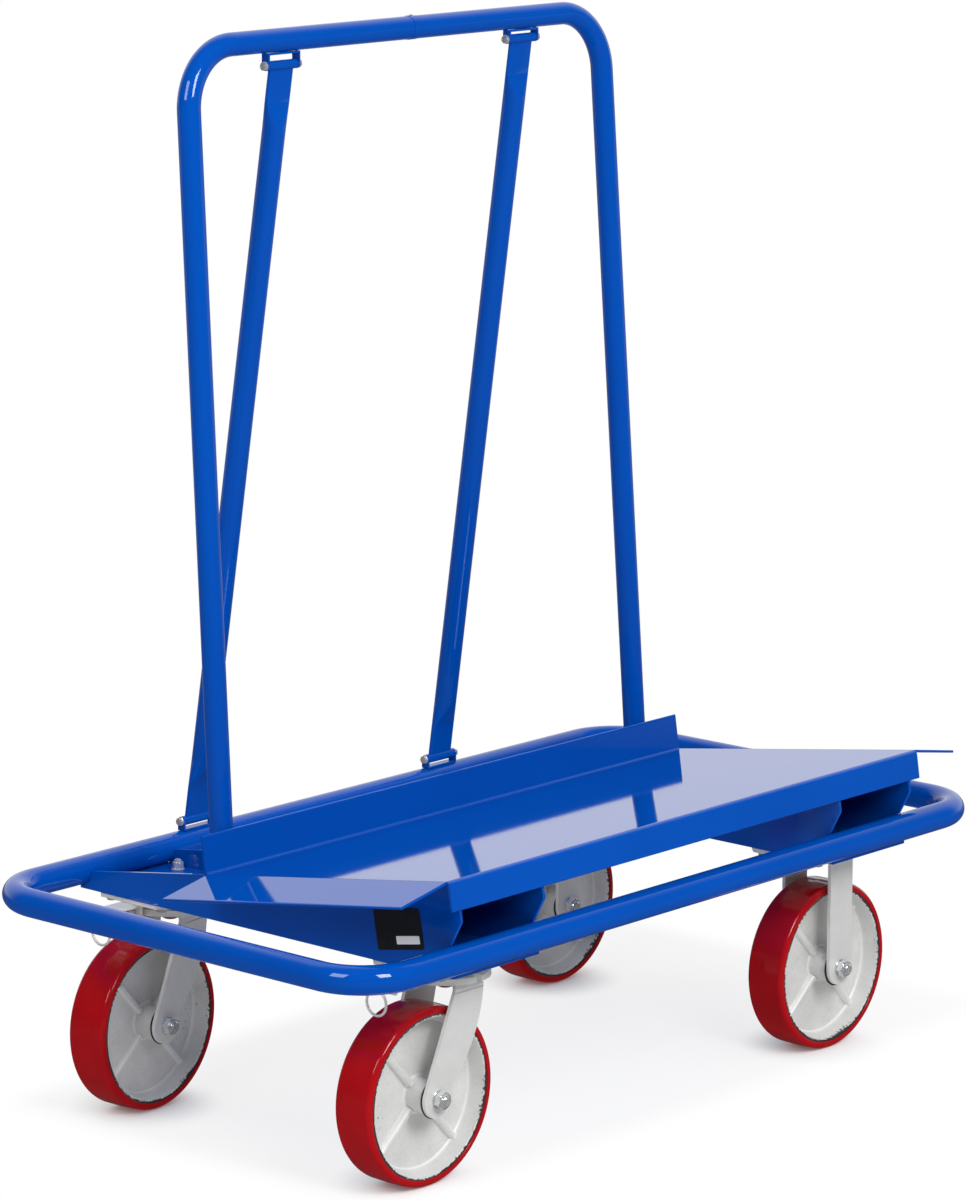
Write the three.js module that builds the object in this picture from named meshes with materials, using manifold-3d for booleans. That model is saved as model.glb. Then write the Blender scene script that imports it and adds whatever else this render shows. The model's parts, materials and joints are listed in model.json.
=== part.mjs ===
// Sheet goods cart: a tube ring on four casters, a tilted tray on two channels and a braced upright.
// Millimetres. +X runs along the cart to the rigid casters, +Y to the upright, +Z up. The floor is z = 0.
import * as THREE from "three";
import { mergeVertices } from "three/addons/utils/BufferGeometryUtils.js";
import Module from "manifold-3d";

const wasm = await Module();
wasm.setup();

// Clearances: between seated or welded pieces, round turning pins, and beside a turning hub
const SEAT_GAP = 0.3;
const PIN_GAP = 0.4;
const HUB_SIDE_GAP = 1.5;

// Base ring, outside sizes and the bend radius of its centre line
const RING_LENGTH = 1096;
const RING_WIDTH = 600;
const RING_TUBE = 32;
const RING_BEND = 65;

// Cross channels, centred over the casters
const CHANNEL_X = 327;
const CHANNEL_WIDTH = 137;
const CHANNEL_SHEET = 4;
const CHANNEL_TOE = 5; // from the tube's centre line to the ends of the webs
const CHANNEL_FLOOR_END = 1; // the floor reaches this far past the tube's centre line
const CHANNEL_NOSE = 47; // depth of the upright front edge below the tray

// Tray, measured on its faces: tilt, sheet, flanges and drooping end tabs
const TRAY_LENGTH = 819;
const TRAY_DEPTH = 364;
const TRAY_TILT = THREE.MathUtils.degToRad(8.7);
const TRAY_SHEET = 3;
const TRAY_FOLD = 2.5; // inner radius of the folds
const TRAY_BACK_RISE = 35.5; // back fold above the tube's centre line
const TRAY_OVERHANG = 6; // front face beyond the tube's centre line
const BACK_FLANGE = 41;
const FRONT_FLANGE = 32;
const TAB_LENGTH = 74;
const TAB_DROOP = THREE.MathUtils.degToRad(10);
const TAB_INSET = 3.5; // from the tray's front and back faces to the tab

// Upright: two J-shaped tubes joined in the top bar
const TOTAL_HEIGHT = 1211;
const UPRIGHT_TUBE = 25;
const UPRIGHT_WALL = 2;
const UPRIGHT_BEND = 70;
const UPRIGHT_LEAN = THREE.MathUtils.degToRad(3.66);
const UPRIGHT_Y = 93.4; // at the height of the ring
const LEG_FOOT_X = 358.4;
const LEG_TOP_X = 346;
const SEAM_X = 9;
const SPIGOT_LENGTH = 110;
const SPIGOT_BOLT = 6;
const SPIGOT_BOLT_OFFSET = 6.7; // from the seam, into the right half
const SPIGOT_BOLT_REACH = 16; // below the top of the bar
const SPIGOT_BOLT_HEAD = 2.6; // above it

// Braces and their brackets
const BRACE_FOOT_X = 209.5;
const BRACE_TOP_X = { left: 197.5, right: 205.7 }; // the left brace leans in a little more
const BRACE_TUBE = 25;
const BRACE_FLAT_WIDTH = 38;
const BRACE_FLAT_THICKNESS = 5;
const BRACE_FLAT_LENGTH = 34;
const BRACE_TAPER = 42;
const BRACE_EYE_TUBE = 11; // short cross tube on each flattened end
const BRACE_BOLT = 6;
const BRACKET_SPAN = 46; // between the ears
const BRACKET_SHEET = 2.5;
const BRACKET_WIDTH = 11;
const BRACKET_FOOT_EYE = 11.2; // bolt from the tube's surface
const BRACKET_TOP_EYE = { left: 15.2, right: 11.8 }; // the left bracket hangs a little lower

// Wheels
const WHEEL_DIAMETER = 200;
const TREAD_WIDTH = 50;
const TREAD_THICKNESS = 8;
const TREAD_SHOULDER = 5;
const RIM_WIDTH = 48;
const RIM_WALL = 4;
const RIM_DRAFT = 10; // how far the dish narrows on its way in
const WEB_THICKNESS = 16;
const HUB_WIDTH = 60;
const HUB_DIAMETER = 38;
const HUB_FILLET = 8;
const RIB_COUNT = 4;
const RIB_WIDTH = 7;
const RIB_RISE = 6; // above the web
const RIB_PHASE = THREE.MathUtils.degToRad(43);
const BUSH_DIAMETER = 22;
const SLEEVE_DIAMETER = 15;
const AXLE_BOLT = 12;

// Casters
const HEAD_HEIGHT = 44; // top plate above the tread
const TRAIL = 50;
const BACK_YAW = THREE.MathUtils.degToRad(5); // the back left wheel stands a little off line
const CASTER_Y = 210;
const PLATE_LENGTH = 135;
const PLATE_WIDTH = 110;
const PLATE_SHEET = 5;
const PLATE_CHAMFER = 12;
const PLATE_HOLES_X = 105;
const PLATE_HOLES_Y = 80;
const PLATE_HOLE = 11;
const FORK_SHEET = 4.5;
const FORK_BEND = 12; // outside radius of the shoulders
const FORK_EYE = 25; // radius of the leg's lower end
const FORK_CROWN_FRONT = 22.5;
const FORK_CROWN_BACK = 18.5;
const RIGID_LEG = 46;
const RACE_DEPTH = 5; // dished seat under the top plate
const RACE_RADIUS = 43;
const BALL_RING_RADIUS = 34;
const BALL_SIZE = 3.4;
const KINGPIN = 14;
const KINGPIN_NUT = 26;
const KINGPIN_NUT_HEIGHT = 11;

// Direction lock of a swivel caster
const LOCK_RING_RADIUS = 50;
const LOCK_RING_SHEET = 6;
const LOCK_NOTCHES = 4;
const LOCK_PIN = 8;
const LOCK_TRAVEL = 8.5;
const LOCK_TIP_GAP = 1.2; // pulled-out tip to the lock ring
const LOCK_SHEET = 4;
const LOCK_WIDTH = 24;
const LOCK_SPAN = 30; // between the bracket's ears
const LOCK_EAR_REACH = 7; // ears below the pin
const LOCK_COLLAR = 14;
const LOCK_COLLAR_WIDTH = 3;
const LOCK_TAIL = 20; // pin beyond the outer ear
const SPRING_WIRE = 1.4;
const SPRING_COILS = 5;
const SPRING_DIAMETER = 12; // centre line
const PULL_RING_DIAMETER = 28; // centre line
const PULL_RING_WIRE = 3;
const PULL_EYE = 5.2;

// Facet counts
const RING_SIDES = 14;
const TUBE_SIDES = 12;
const BRACE_SIDES = 12;
const WHEEL_FACETS = 24;
const ROUND_SIDES = 12;
const HOLE_SIDES = 8;
const BEND_STEPS = 5;
const LOCK_RING_SIDES = 24;
const SPRING_STEPS = 8;
const SPRING_SIDES = 5;
const CURVE_STEPS = 3;

// Places that follow from the sizes above
const WHEEL_RADIUS = WHEEL_DIAMETER / 2;
const CASTER_HEIGHT = WHEEL_DIAMETER + HEAD_HEIGHT;
const FLOOR_BOTTOM = CASTER_HEIGHT + SEAT_GAP;
const FLOOR_TOP = FLOOR_BOTTOM + CHANNEL_SHEET;
const RING_RADIUS = RING_TUBE / 2;
const RING_Z = FLOOR_TOP + SEAT_GAP + RING_RADIUS;
const RING_HALF_X = RING_LENGTH / 2 - RING_RADIUS;
const RING_HALF_Y = RING_WIDTH / 2 - RING_RADIUS;
const TRAY_BACK_Z = RING_Z + TRAY_BACK_RISE;
const TRAY_BACK_Y = TRAY_DEPTH * Math.cos(TRAY_TILT) - RING_HALF_Y - TRAY_OVERHANG;
const BAR_Z = TOTAL_HEIGHT - UPRIGHT_TUBE / 2;
const BAR_Y = UPRIGHT_Y + (BAR_Z - RING_Z) * Math.tan(UPRIGHT_LEAN);
const FORK_INNER = HUB_WIDTH / 2 + HUB_SIDE_GAP;
const FORK_OUTER = FORK_INNER + FORK_SHEET;

const paint = (color, roughness, metalness) =>
  new THREE.MeshStandardMaterial({ color, roughness, metalness });
const BLUE_PAINT = paint(0x0052b8, 0.25, 0.1);
const ZINC = paint(0xcfd0cc, 0.4, 0.9);
const BRIGHT_ZINC = paint(0xdadcdc, 0.25, 1);
const CAST_ALUMINIUM = paint(0xb8bab8, 0.55, 0.8);
const RED_TREAD = paint(0x9c0f16, 0.3, 0);
const BUSH_STEEL = paint(0x8f9294, 0.35, 1);

// A geometry as a closed solid with its faces pointing out
function solid(geometry) {
  const bare = geometry.clone();
  bare.deleteAttribute("normal");
  bare.deleteAttribute("uv");
  const merged = mergeVertices(bare, 1e-4);
  const corners = merged.index.array;
  const triangles = [];
  for (let i = 0; i < corners.length; i += 3) {
    const [a, b, c] = corners.slice(i, i + 3);
    if (a !== b && b !== c && c !== a) triangles.push(a, b, c);
  }
  const close = (order) =>
    new wasm.Manifold(
      new wasm.Mesh({
        numProp: 3,
        vertProperties: new Float32Array(merged.attributes.position.array),
        triVerts: new Uint32Array(order),
      }),
    );
  const made = close(triangles);
  return made.volume() > 0 ? made : close(triangles.reverse());
}

// A solid as a named mesh in its group
function piece(parent, name, body, material) {
  const { vertProperties, triVerts } = body.getMesh();
  const geometry = new THREE.BufferGeometry();
  geometry.setAttribute("position", new THREE.BufferAttribute(vertProperties, 3));
  geometry.setIndex(new THREE.BufferAttribute(triVerts, 1));
  geometry.computeVertexNormals();
  const mesh = new THREE.Mesh(geometry, material);
  mesh.name = name;
  parent.add(mesh);
}

function groupAt(parent, x, y, z) {
  const group = new THREE.Group();
  group.position.set(x, y, z);
  parent.add(group);
  return group;
}

const outline = (points) => new THREE.Shape(points.map(([x, y]) => new THREE.Vector2(x, y)));

// Extrusions of an outline: (y, z) along X, (x, z) along Y, (x, y) along Z
function prism(shape, length, curveSegments = CURVE_STEPS) {
  return new THREE.ExtrudeGeometry(shape, { depth: length, bevelEnabled: false, curveSegments });
}
const AXES = {
  x: new THREE.Vector3(1, 0, 0),
  y: new THREE.Vector3(0, 1, 0),
  z: new THREE.Vector3(0, 0, 1),
};
function alongX(shape, from, to) {
  const turn = new THREE.Matrix4().makeBasis(AXES.y, AXES.z, AXES.x);
  return solid(prism(shape, to - from).applyMatrix4(turn).translate(from, 0, 0));
}
function alongY(shape, from, to) {
  const turn = new THREE.Matrix4().makeBasis(AXES.x, AXES.z, AXES.y.clone().negate());
  return solid(prism(shape, to - from).applyMatrix4(turn).translate(0, to, 0));
}
function alongZ(shape, from, to) {
  return solid(prism(shape, to - from).translate(0, 0, from));
}

// Round bars between two places on an axis
function barX(radius, from, to, y, z, sides) {
  const bar = new THREE.CylinderGeometry(radius, radius, to - from, sides).rotateZ(Math.PI / 2);
  return solid(bar.translate((from + to) / 2, y, z));
}
function barY(radius, from, to, x, z, sides) {
  const bar = new THREE.CylinderGeometry(radius, radius, to - from, sides);
  return solid(bar.translate(x, (from + to) / 2, z));
}
function barZ(radius, from, to, x, y, sides) {
  const bar = new THREE.CylinderGeometry(radius, radius, to - from, sides).rotateX(Math.PI / 2);
  return solid(bar.translate(x, y, (from + to) / 2));
}
function block(x0, x1, y0, y1, z0, z1) {
  const box = new THREE.BoxGeometry(x1 - x0, y1 - y0, z1 - z0);
  return solid(box.translate((x0 + x1) / 2, (y0 + y1) / 2, (z0 + z1) / 2));
}

// A closed profile of [radius, height] pairs turned about Y or Z
function turnedGeometry(profile, facets) {
  const points = profile.map(([radius, height]) => new THREE.Vector2(radius, height));
  return new THREE.LatheGeometry([...points, points[0]], facets, Math.PI / facets);
}
const turnedY = (profile, facets) => solid(turnedGeometry(profile, facets));
const turnedZ = (profile, facets) => solid(turnedGeometry(profile, facets).rotateX(Math.PI / 2));

// Skin over a row of sections with equal point counts, capped unless it closes on itself
function loft(sections, closed = false) {
  const sides = sections[0].length;
  const index = [];
  const spans = closed ? sections.length : sections.length - 1;
  for (let i = 0; i < spans; i++) {
    const here = i * sides;
    const next = ((i + 1) % sections.length) * sides;
    for (let j = 0; j < sides; j++) {
      const k = (j + 1) % sides;
      index.push(here + j, here + k, next + k, here + j, next + k, next + j);
    }
  }
  if (!closed) {
    const last = (sections.length - 1) * sides;
    for (let j = 1; j < sides - 1; j++) {
      index.push(0, j + 1, j, last, last + j, last + j + 1);
    }
  }
  const geometry = new THREE.BufferGeometry().setFromPoints(sections.flat());
  return solid(geometry.setIndex(index));
}

// Stations along straight runs joined by arcs of one bend radius
function bentRun(corners, bend, closed) {
  const count = corners.length;
  return corners.flatMap((corner, i) => {
    const into = corner.clone().sub(corners[(i + count - 1) % count]).normalize();
    const out = corners[(i + 1) % count].clone().sub(corner).normalize();
    if (!closed && i === 0) return [{ point: corner, direction: out }];
    if (!closed && i === count - 1) return [{ point: corner, direction: into }];
    const turn = into.angleTo(out);
    const inward = out.clone().addScaledVector(into, -into.dot(out)).normalize();
    const start = corner.clone().addScaledVector(into, -bend * Math.tan(turn / 2));
    return Array.from({ length: BEND_STEPS + 1 }, (_, step) => {
      const angle = (turn * step) / BEND_STEPS;
      const point = start.clone().addScaledVector(into, bend * Math.sin(angle));
      const direction = into.clone().multiplyScalar(Math.cos(angle));
      return {
        point: point.addScaledVector(inward, bend * (1 - Math.cos(angle))),
        direction: direction.addScaledVector(inward, Math.sin(angle)),
      };
    });
  });
}

// A round section about a station, with a flat on the side of the plane's normal
function roundSection(point, across, upward, radius, sides) {
  return Array.from({ length: sides }, (_, i) => {
    const angle = (2 * Math.PI * (i + 0.5)) / sides;
    const out = across.clone().multiplyScalar(radius * Math.cos(angle));
    return point.clone().add(out).addScaledVector(upward, radius * Math.sin(angle));
  });
}
function bentTube(stations, planeNormal, radius, sides, closed) {
  const sections = stations.map(({ point, direction }) => {
    const across = planeNormal.clone().cross(direction).normalize();
    return roundSection(point, across, planeNormal, radius, sides);
  });
  return loft(sections, closed);
}

const cart = new THREE.Group();

// Base ring
function buildRing() {
  const corners = [
    new THREE.Vector3(-RING_HALF_X, -RING_HALF_Y, RING_Z),
    new THREE.Vector3(RING_HALF_X, -RING_HALF_Y, RING_Z),
    new THREE.Vector3(RING_HALF_X, RING_HALF_Y, RING_Z),
    new THREE.Vector3(-RING_HALF_X, RING_HALF_Y, RING_Z),
  ];
  const stations = bentRun(corners, RING_BEND, true);
  piece(cart, "base_ring", bentTube(stations, AXES.z, RING_RADIUS, RING_SIDES, true), BLUE_PAINT);
}

// A place on the tray's cross-section: u forward along its top face, v up from it, as (y, z)
function trayPlace(u, v) {
  return [
    TRAY_BACK_Y - u * Math.cos(TRAY_TILT) + v * Math.sin(TRAY_TILT),
    TRAY_BACK_Z + u * Math.sin(TRAY_TILT) + v * Math.cos(TRAY_TILT),
  ];
}

// Cross channel: folded floor and two webs, coped round the tubes and cut to the tray's slope
function buildChannel(name, centre) {
  const under = -TRAY_SHEET - SEAT_GAP;
  const front = TRAY_DEPTH - TRAY_SHEET - SEAT_GAP;
  const fold = TRAY_FOLD + TRAY_SHEET;
  const toe = RING_HALF_Y - CHANNEL_TOE;
  const backEnd = (TRAY_BACK_Y - toe) / Math.cos(TRAY_TILT);
  const web = outline([
    trayPlace(backEnd, under),
    trayPlace(front - fold, under),
    trayPlace(front, under - fold),
    trayPlace(front, -CHANNEL_NOSE),
    [-toe, RING_Z + RING_RADIUS],
    [-toe, FLOOR_BOTTOM],
    [toe, FLOOR_BOTTOM],
  ]);
  const left = centre - CHANNEL_WIDTH / 2;
  const right = centre + CHANNEL_WIDTH / 2;
  const tubeSpace = RING_RADIUS + SEAT_GAP;
  const floorEnd = RING_HALF_Y + CHANNEL_FLOOR_END;
  let channel = block(left, right, -floorEnd, floorEnd, FLOOR_BOTTOM, FLOOR_TOP);
  for (const from of [left, right - CHANNEL_SHEET]) {
    let plate = alongX(web, from, from + CHANNEL_SHEET);
    for (const y of [-RING_HALF_Y, RING_HALF_Y]) {
      const tube = barX(tubeSpace, left - 1, right + 1, y, RING_Z, LOCK_RING_SIDES);
      plate = plate.subtract(tube);
    }
    channel = channel.add(plate);
  }
  for (const y of [-CASTER_Y, CASTER_Y]) {
    channel = channel.subtract(plateHoles(centre, y, FLOOR_BOTTOM - 1, FLOOR_TOP + 1));
  }
  piece(cart, name, channel, BLUE_PAINT);
}

// The four bolt holes of a caster plate
function plateHoles(x, y, from, to) {
  const holes = [-1, 1].flatMap((along) =>
    [-1, 1].map((across) => {
      const holeX = x + (along * PLATE_HOLES_X) / 2;
      const holeY = y + (across * PLATE_HOLES_Y) / 2;
      return barZ(PLATE_HOLE / 2, from, to, holeX, holeY, HOLE_SIDES);
    }),
  );
  return holes.reduce((all, hole) => all.add(hole));
}

// Tray: one folded sheet with a drooping tab at each end
function buildTray() {
  const sheet = TRAY_SHEET;
  const outerFold = TRAY_FOLD + sheet;
  const profile = new THREE.Shape();
  profile.moveTo(-sheet, BACK_FLANGE);
  profile.lineTo(-sheet, TRAY_FOLD);
  profile.quadraticCurveTo(-sheet, -sheet, TRAY_FOLD, -sheet);
  profile.lineTo(TRAY_DEPTH - outerFold, -sheet);
  profile.quadraticCurveTo(TRAY_DEPTH - sheet, -sheet, TRAY_DEPTH - sheet, -outerFold);
  profile.lineTo(TRAY_DEPTH - sheet, -FRONT_FLANGE);
  profile.lineTo(TRAY_DEPTH, -FRONT_FLANGE);
  profile.lineTo(TRAY_DEPTH, -outerFold);
  profile.quadraticCurveTo(TRAY_DEPTH, 0, TRAY_DEPTH - outerFold, 0);
  profile.lineTo(TRAY_FOLD, 0);
  profile.quadraticCurveTo(0, 0, 0, TRAY_FOLD);
  profile.lineTo(0, BACK_FLANGE);
  const forward = new THREE.Vector3(0, -Math.cos(TRAY_TILT), Math.sin(TRAY_TILT));
  const upward = new THREE.Vector3(0, Math.sin(TRAY_TILT), Math.cos(TRAY_TILT));
  const corner = new THREE.Vector3(0, TRAY_BACK_Y, TRAY_BACK_Z);
  const toLeft = AXES.x.clone().negate();
  const place = new THREE.Matrix4().makeBasis(forward, upward, toLeft);
  place.setPosition(corner.clone().addScaledVector(AXES.x, TRAY_LENGTH / 2));
  let tray = solid(prism(profile, TRAY_LENGTH).applyMatrix4(place));

  const root = sheet * Math.tan(TAB_DROOP / 2);
  const reach = TAB_LENGTH * Math.cos(TAB_DROOP);
  const drop = TAB_LENGTH * Math.sin(TAB_DROOP);
  const tab = outline([
    [-sheet, 0],
    [0, 0],
    [reach, -drop],
    [reach - sheet * Math.sin(TAB_DROOP), -drop - sheet * Math.cos(TAB_DROOP)],
    [-root, -sheet],
    [-sheet, -sheet],
  ]);
  const tabWidth = TRAY_DEPTH - 2 * TAB_INSET;
  for (const side of [-1, 1]) {
    const out = AXES.x.clone().multiplyScalar(side);
    const along = forward.clone().multiplyScalar(side);
    const origin = corner.clone().addScaledVector(AXES.x, (side * TRAY_LENGTH) / 2);
    origin.addScaledVector(forward, side > 0 ? TAB_INSET : TRAY_DEPTH - TAB_INSET);
    const turn = new THREE.Matrix4().makeBasis(out, upward, along).setPosition(origin);
    tray = tray.add(solid(prism(tab, tabWidth).applyMatrix4(turn)));
  }
  piece(cart, "deck_tray", tray, BLUE_PAINT);
}

// Upright halves, and the spigot and screw that join them in the top bar
function buildUpright() {
  const radius = UPRIGHT_TUBE / 2;
  const bore = radius - UPRIGHT_WALL;
  const footZ = FLOOR_TOP + SEAT_GAP + radius * Math.tan(UPRIGHT_LEAN);
  const footY = UPRIGHT_Y + (footZ - RING_Z) * Math.tan(UPRIGHT_LEAN);
  const boltX = SEAM_X + SPIGOT_BOLT_OFFSET;
  const boltHole = SPIGOT_BOLT / 2 + PIN_GAP;
  const headTop = BAR_Z + radius + SEAT_GAP;
  const boltEnd = headTop - SPIGOT_BOLT_REACH;
  const hole = barZ(boltHole, boltEnd - PIN_GAP, headTop + radius, boltX, BAR_Y, HOLE_SIDES);
  const halfSpigot = SPIGOT_LENGTH / 2;
  const spigotSpace = barX(
    bore,
    SEAM_X - halfSpigot - SEAT_GAP,
    SEAM_X + halfSpigot + SEAT_GAP,
    BAR_Y,
    BAR_Z,
    TUBE_SIDES,
  );
  for (const [name, side] of [["upright_left", -1], ["upright_right", 1]]) {
    const foot = new THREE.Vector3(side * LEG_FOOT_X, footY, footZ);
    const shoulder = new THREE.Vector3(side * LEG_TOP_X, BAR_Y, BAR_Z);
    const seam = new THREE.Vector3(SEAM_X + (side * SEAT_GAP) / 2, BAR_Y, BAR_Z);
    const rise = shoulder.clone().sub(foot);
    const normal = rise.cross(seam.clone().sub(shoulder)).normalize();
    const stations = bentRun([foot, shoulder, seam], UPRIGHT_BEND, false);
    const tube = bentTube(stations, normal, radius, TUBE_SIDES, false);
    piece(cart, name, tube.subtract(spigotSpace).subtract(hole), BLUE_PAINT);
  }
  const spigotRadius = bore * Math.cos(Math.PI / TUBE_SIDES) - SEAT_GAP;
  const spigot = barX(spigotRadius, SEAM_X - halfSpigot, SEAM_X + halfSpigot, BAR_Y, BAR_Z, TUBE_SIDES);
  piece(cart, "upright_spigot", spigot.subtract(hole), ZINC);

  const shank = barZ(SPIGOT_BOLT / 2, boltEnd, headTop, boltX, BAR_Y, HOLE_SIDES);
  const head = barZ(0.75 * SPIGOT_BOLT, headTop, headTop + SPIGOT_BOLT_HEAD, boltX, BAR_Y, HOLE_SIDES);
  piece(cart, "upright_bolt", shank.add(head), BRIGHT_ZINC);
}

// Brace section: round in the run, a stadium at the flattened ends, blended by share
function braceSection(centre, across, through, share) {
  const straight = (BRACE_FLAT_WIDTH - BRACE_FLAT_THICKNESS) / 2;
  return Array.from({ length: BRACE_SIDES }, (_, i) => {
    const angle = (2 * Math.PI * (i + 0.5)) / BRACE_SIDES;
    const [c, s] = [Math.cos(angle), Math.sin(angle)];
    const flatX = (BRACE_FLAT_THICKNESS / 2) * c + Math.sign(c) * straight;
    const flatY = (BRACE_FLAT_THICKNESS / 2) * s;
    const x = THREE.MathUtils.lerp((BRACE_TUBE / 2) * c, flatX, share);
    const y = THREE.MathUtils.lerp((BRACE_TUBE / 2) * s, flatY, share);
    return centre.clone().addScaledVector(across, x).addScaledVector(through, y);
  });
}

// Brace with a cross tube on each end, its two U brackets and their eye bolts
function buildBrace(side, sideName) {
  const footX = side * BRACE_FOOT_X;
  const footEye = new THREE.Vector3(footX, RING_HALF_Y, RING_Z + RING_RADIUS + BRACKET_FOOT_EYE);
  const topX = side * BRACE_TOP_X[sideName];
  const topZ = BAR_Z - UPRIGHT_TUBE / 2 - BRACKET_TOP_EYE[sideName];
  const topEye = new THREE.Vector3(topX, BAR_Y, topZ);
  const run = topEye.clone().sub(footEye);
  const length = run.length();
  const along = run.normalize();
  const through = along.clone().cross(AXES.x).normalize();
  const flatEnd = BRACE_FLAT_LENGTH;
  const shares = [
    [0, 1],
    [flatEnd, 1],
    [flatEnd + 0.25 * BRACE_TAPER, 0.85],
    [flatEnd + 0.75 * BRACE_TAPER, 0.15],
    [flatEnd + BRACE_TAPER, 0],
  ];
  const mirrored = shares.map(([at, share]) => [length - at, share]).reverse();
  const sections = [...shares, ...mirrored].map(([at, share]) =>
    braceSection(footEye.clone().addScaledVector(along, at), AXES.x, through, share),
  );
  const hole = BRACE_BOLT / 2 + PIN_GAP;
  const reach = BRACKET_SPAN / 2;
  const eyeHalf = reach - SEAT_GAP;
  let brace = loft(sections);
  for (const { x, y, z } of [footEye, topEye]) {
    brace = brace.add(barX(BRACE_EYE_TUBE / 2, x - eyeHalf, x + eyeHalf, y, z, ROUND_SIDES));
    brace = brace.subtract(barX(hole, x - reach, x + reach, y, z, HOLE_SIDES));
  }
  piece(cart, `brace_${sideName}`, brace, BLUE_PAINT);
  buildBracket(`brace_foot_bracket_${sideName}`, footEye, RING_Z + RING_RADIUS, 1);
  buildBracket(`brace_top_bracket_${sideName}`, topEye, BAR_Z - UPRIGHT_TUBE / 2, -1);
  buildEyeBolt(`brace_foot_bolt_${sideName}`, footEye);
  buildEyeBolt(`brace_top_bolt_${sideName}`, topEye);
}

// U bracket: a base on the tube and two ears with round ends, up or down
function buildBracket(name, eye, tubeZ, direction) {
  const half = BRACKET_WIDTH / 2;
  const baseZ = tubeZ + direction * SEAT_GAP;
  const inner = BRACKET_SPAN / 2;
  const outer = inner + BRACKET_SHEET;
  const ear = new THREE.Shape();
  ear.moveTo(eye.y - half, baseZ);
  ear.lineTo(eye.y - half, eye.z);
  ear.absarc(eye.y, eye.z, half, Math.PI, 0, direction > 0);
  ear.lineTo(eye.y + half, baseZ);
  const base = [baseZ, baseZ + direction * BRACKET_SHEET].sort((a, b) => a - b);
  let bracket = block(eye.x - outer, eye.x + outer, eye.y - half, eye.y + half, ...base);
  bracket = bracket.add(alongX(ear, eye.x - outer, eye.x - inner));
  bracket = bracket.add(alongX(ear, eye.x + inner, eye.x + outer));
  const boltSpace = BRACE_BOLT / 2 + PIN_GAP;
  const hole = barX(boltSpace, eye.x - 2 * outer, eye.x + 2 * outer, eye.y, eye.z, HOLE_SIDES);
  piece(cart, name, bracket.subtract(hole), BLUE_PAINT);
}

// Eye bolt along X: head on the left ear, nut on the right one
function buildEyeBolt(name, eye) {
  const face = BRACKET_SPAN / 2 + BRACKET_SHEET + SEAT_GAP;
  const height = 0.75 * BRACE_BOLT;
  const shankEnd = eye.x + face + 1.3 * height;
  const shank = barX(BRACE_BOLT / 2, eye.x - face - height, shankEnd, eye.y, eye.z, HOLE_SIDES);
  const head = barX(0.95 * BRACE_BOLT, eye.x - face - height, eye.x - face, eye.y, eye.z, HOLE_SIDES);
  const nut = barX(0.95 * BRACE_BOLT, eye.x + face, eye.x + face + height, eye.y, eye.z, 6);
  piece(cart, name, shank.add(head).add(nut), BRIGHT_ZINC);
}

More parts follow.
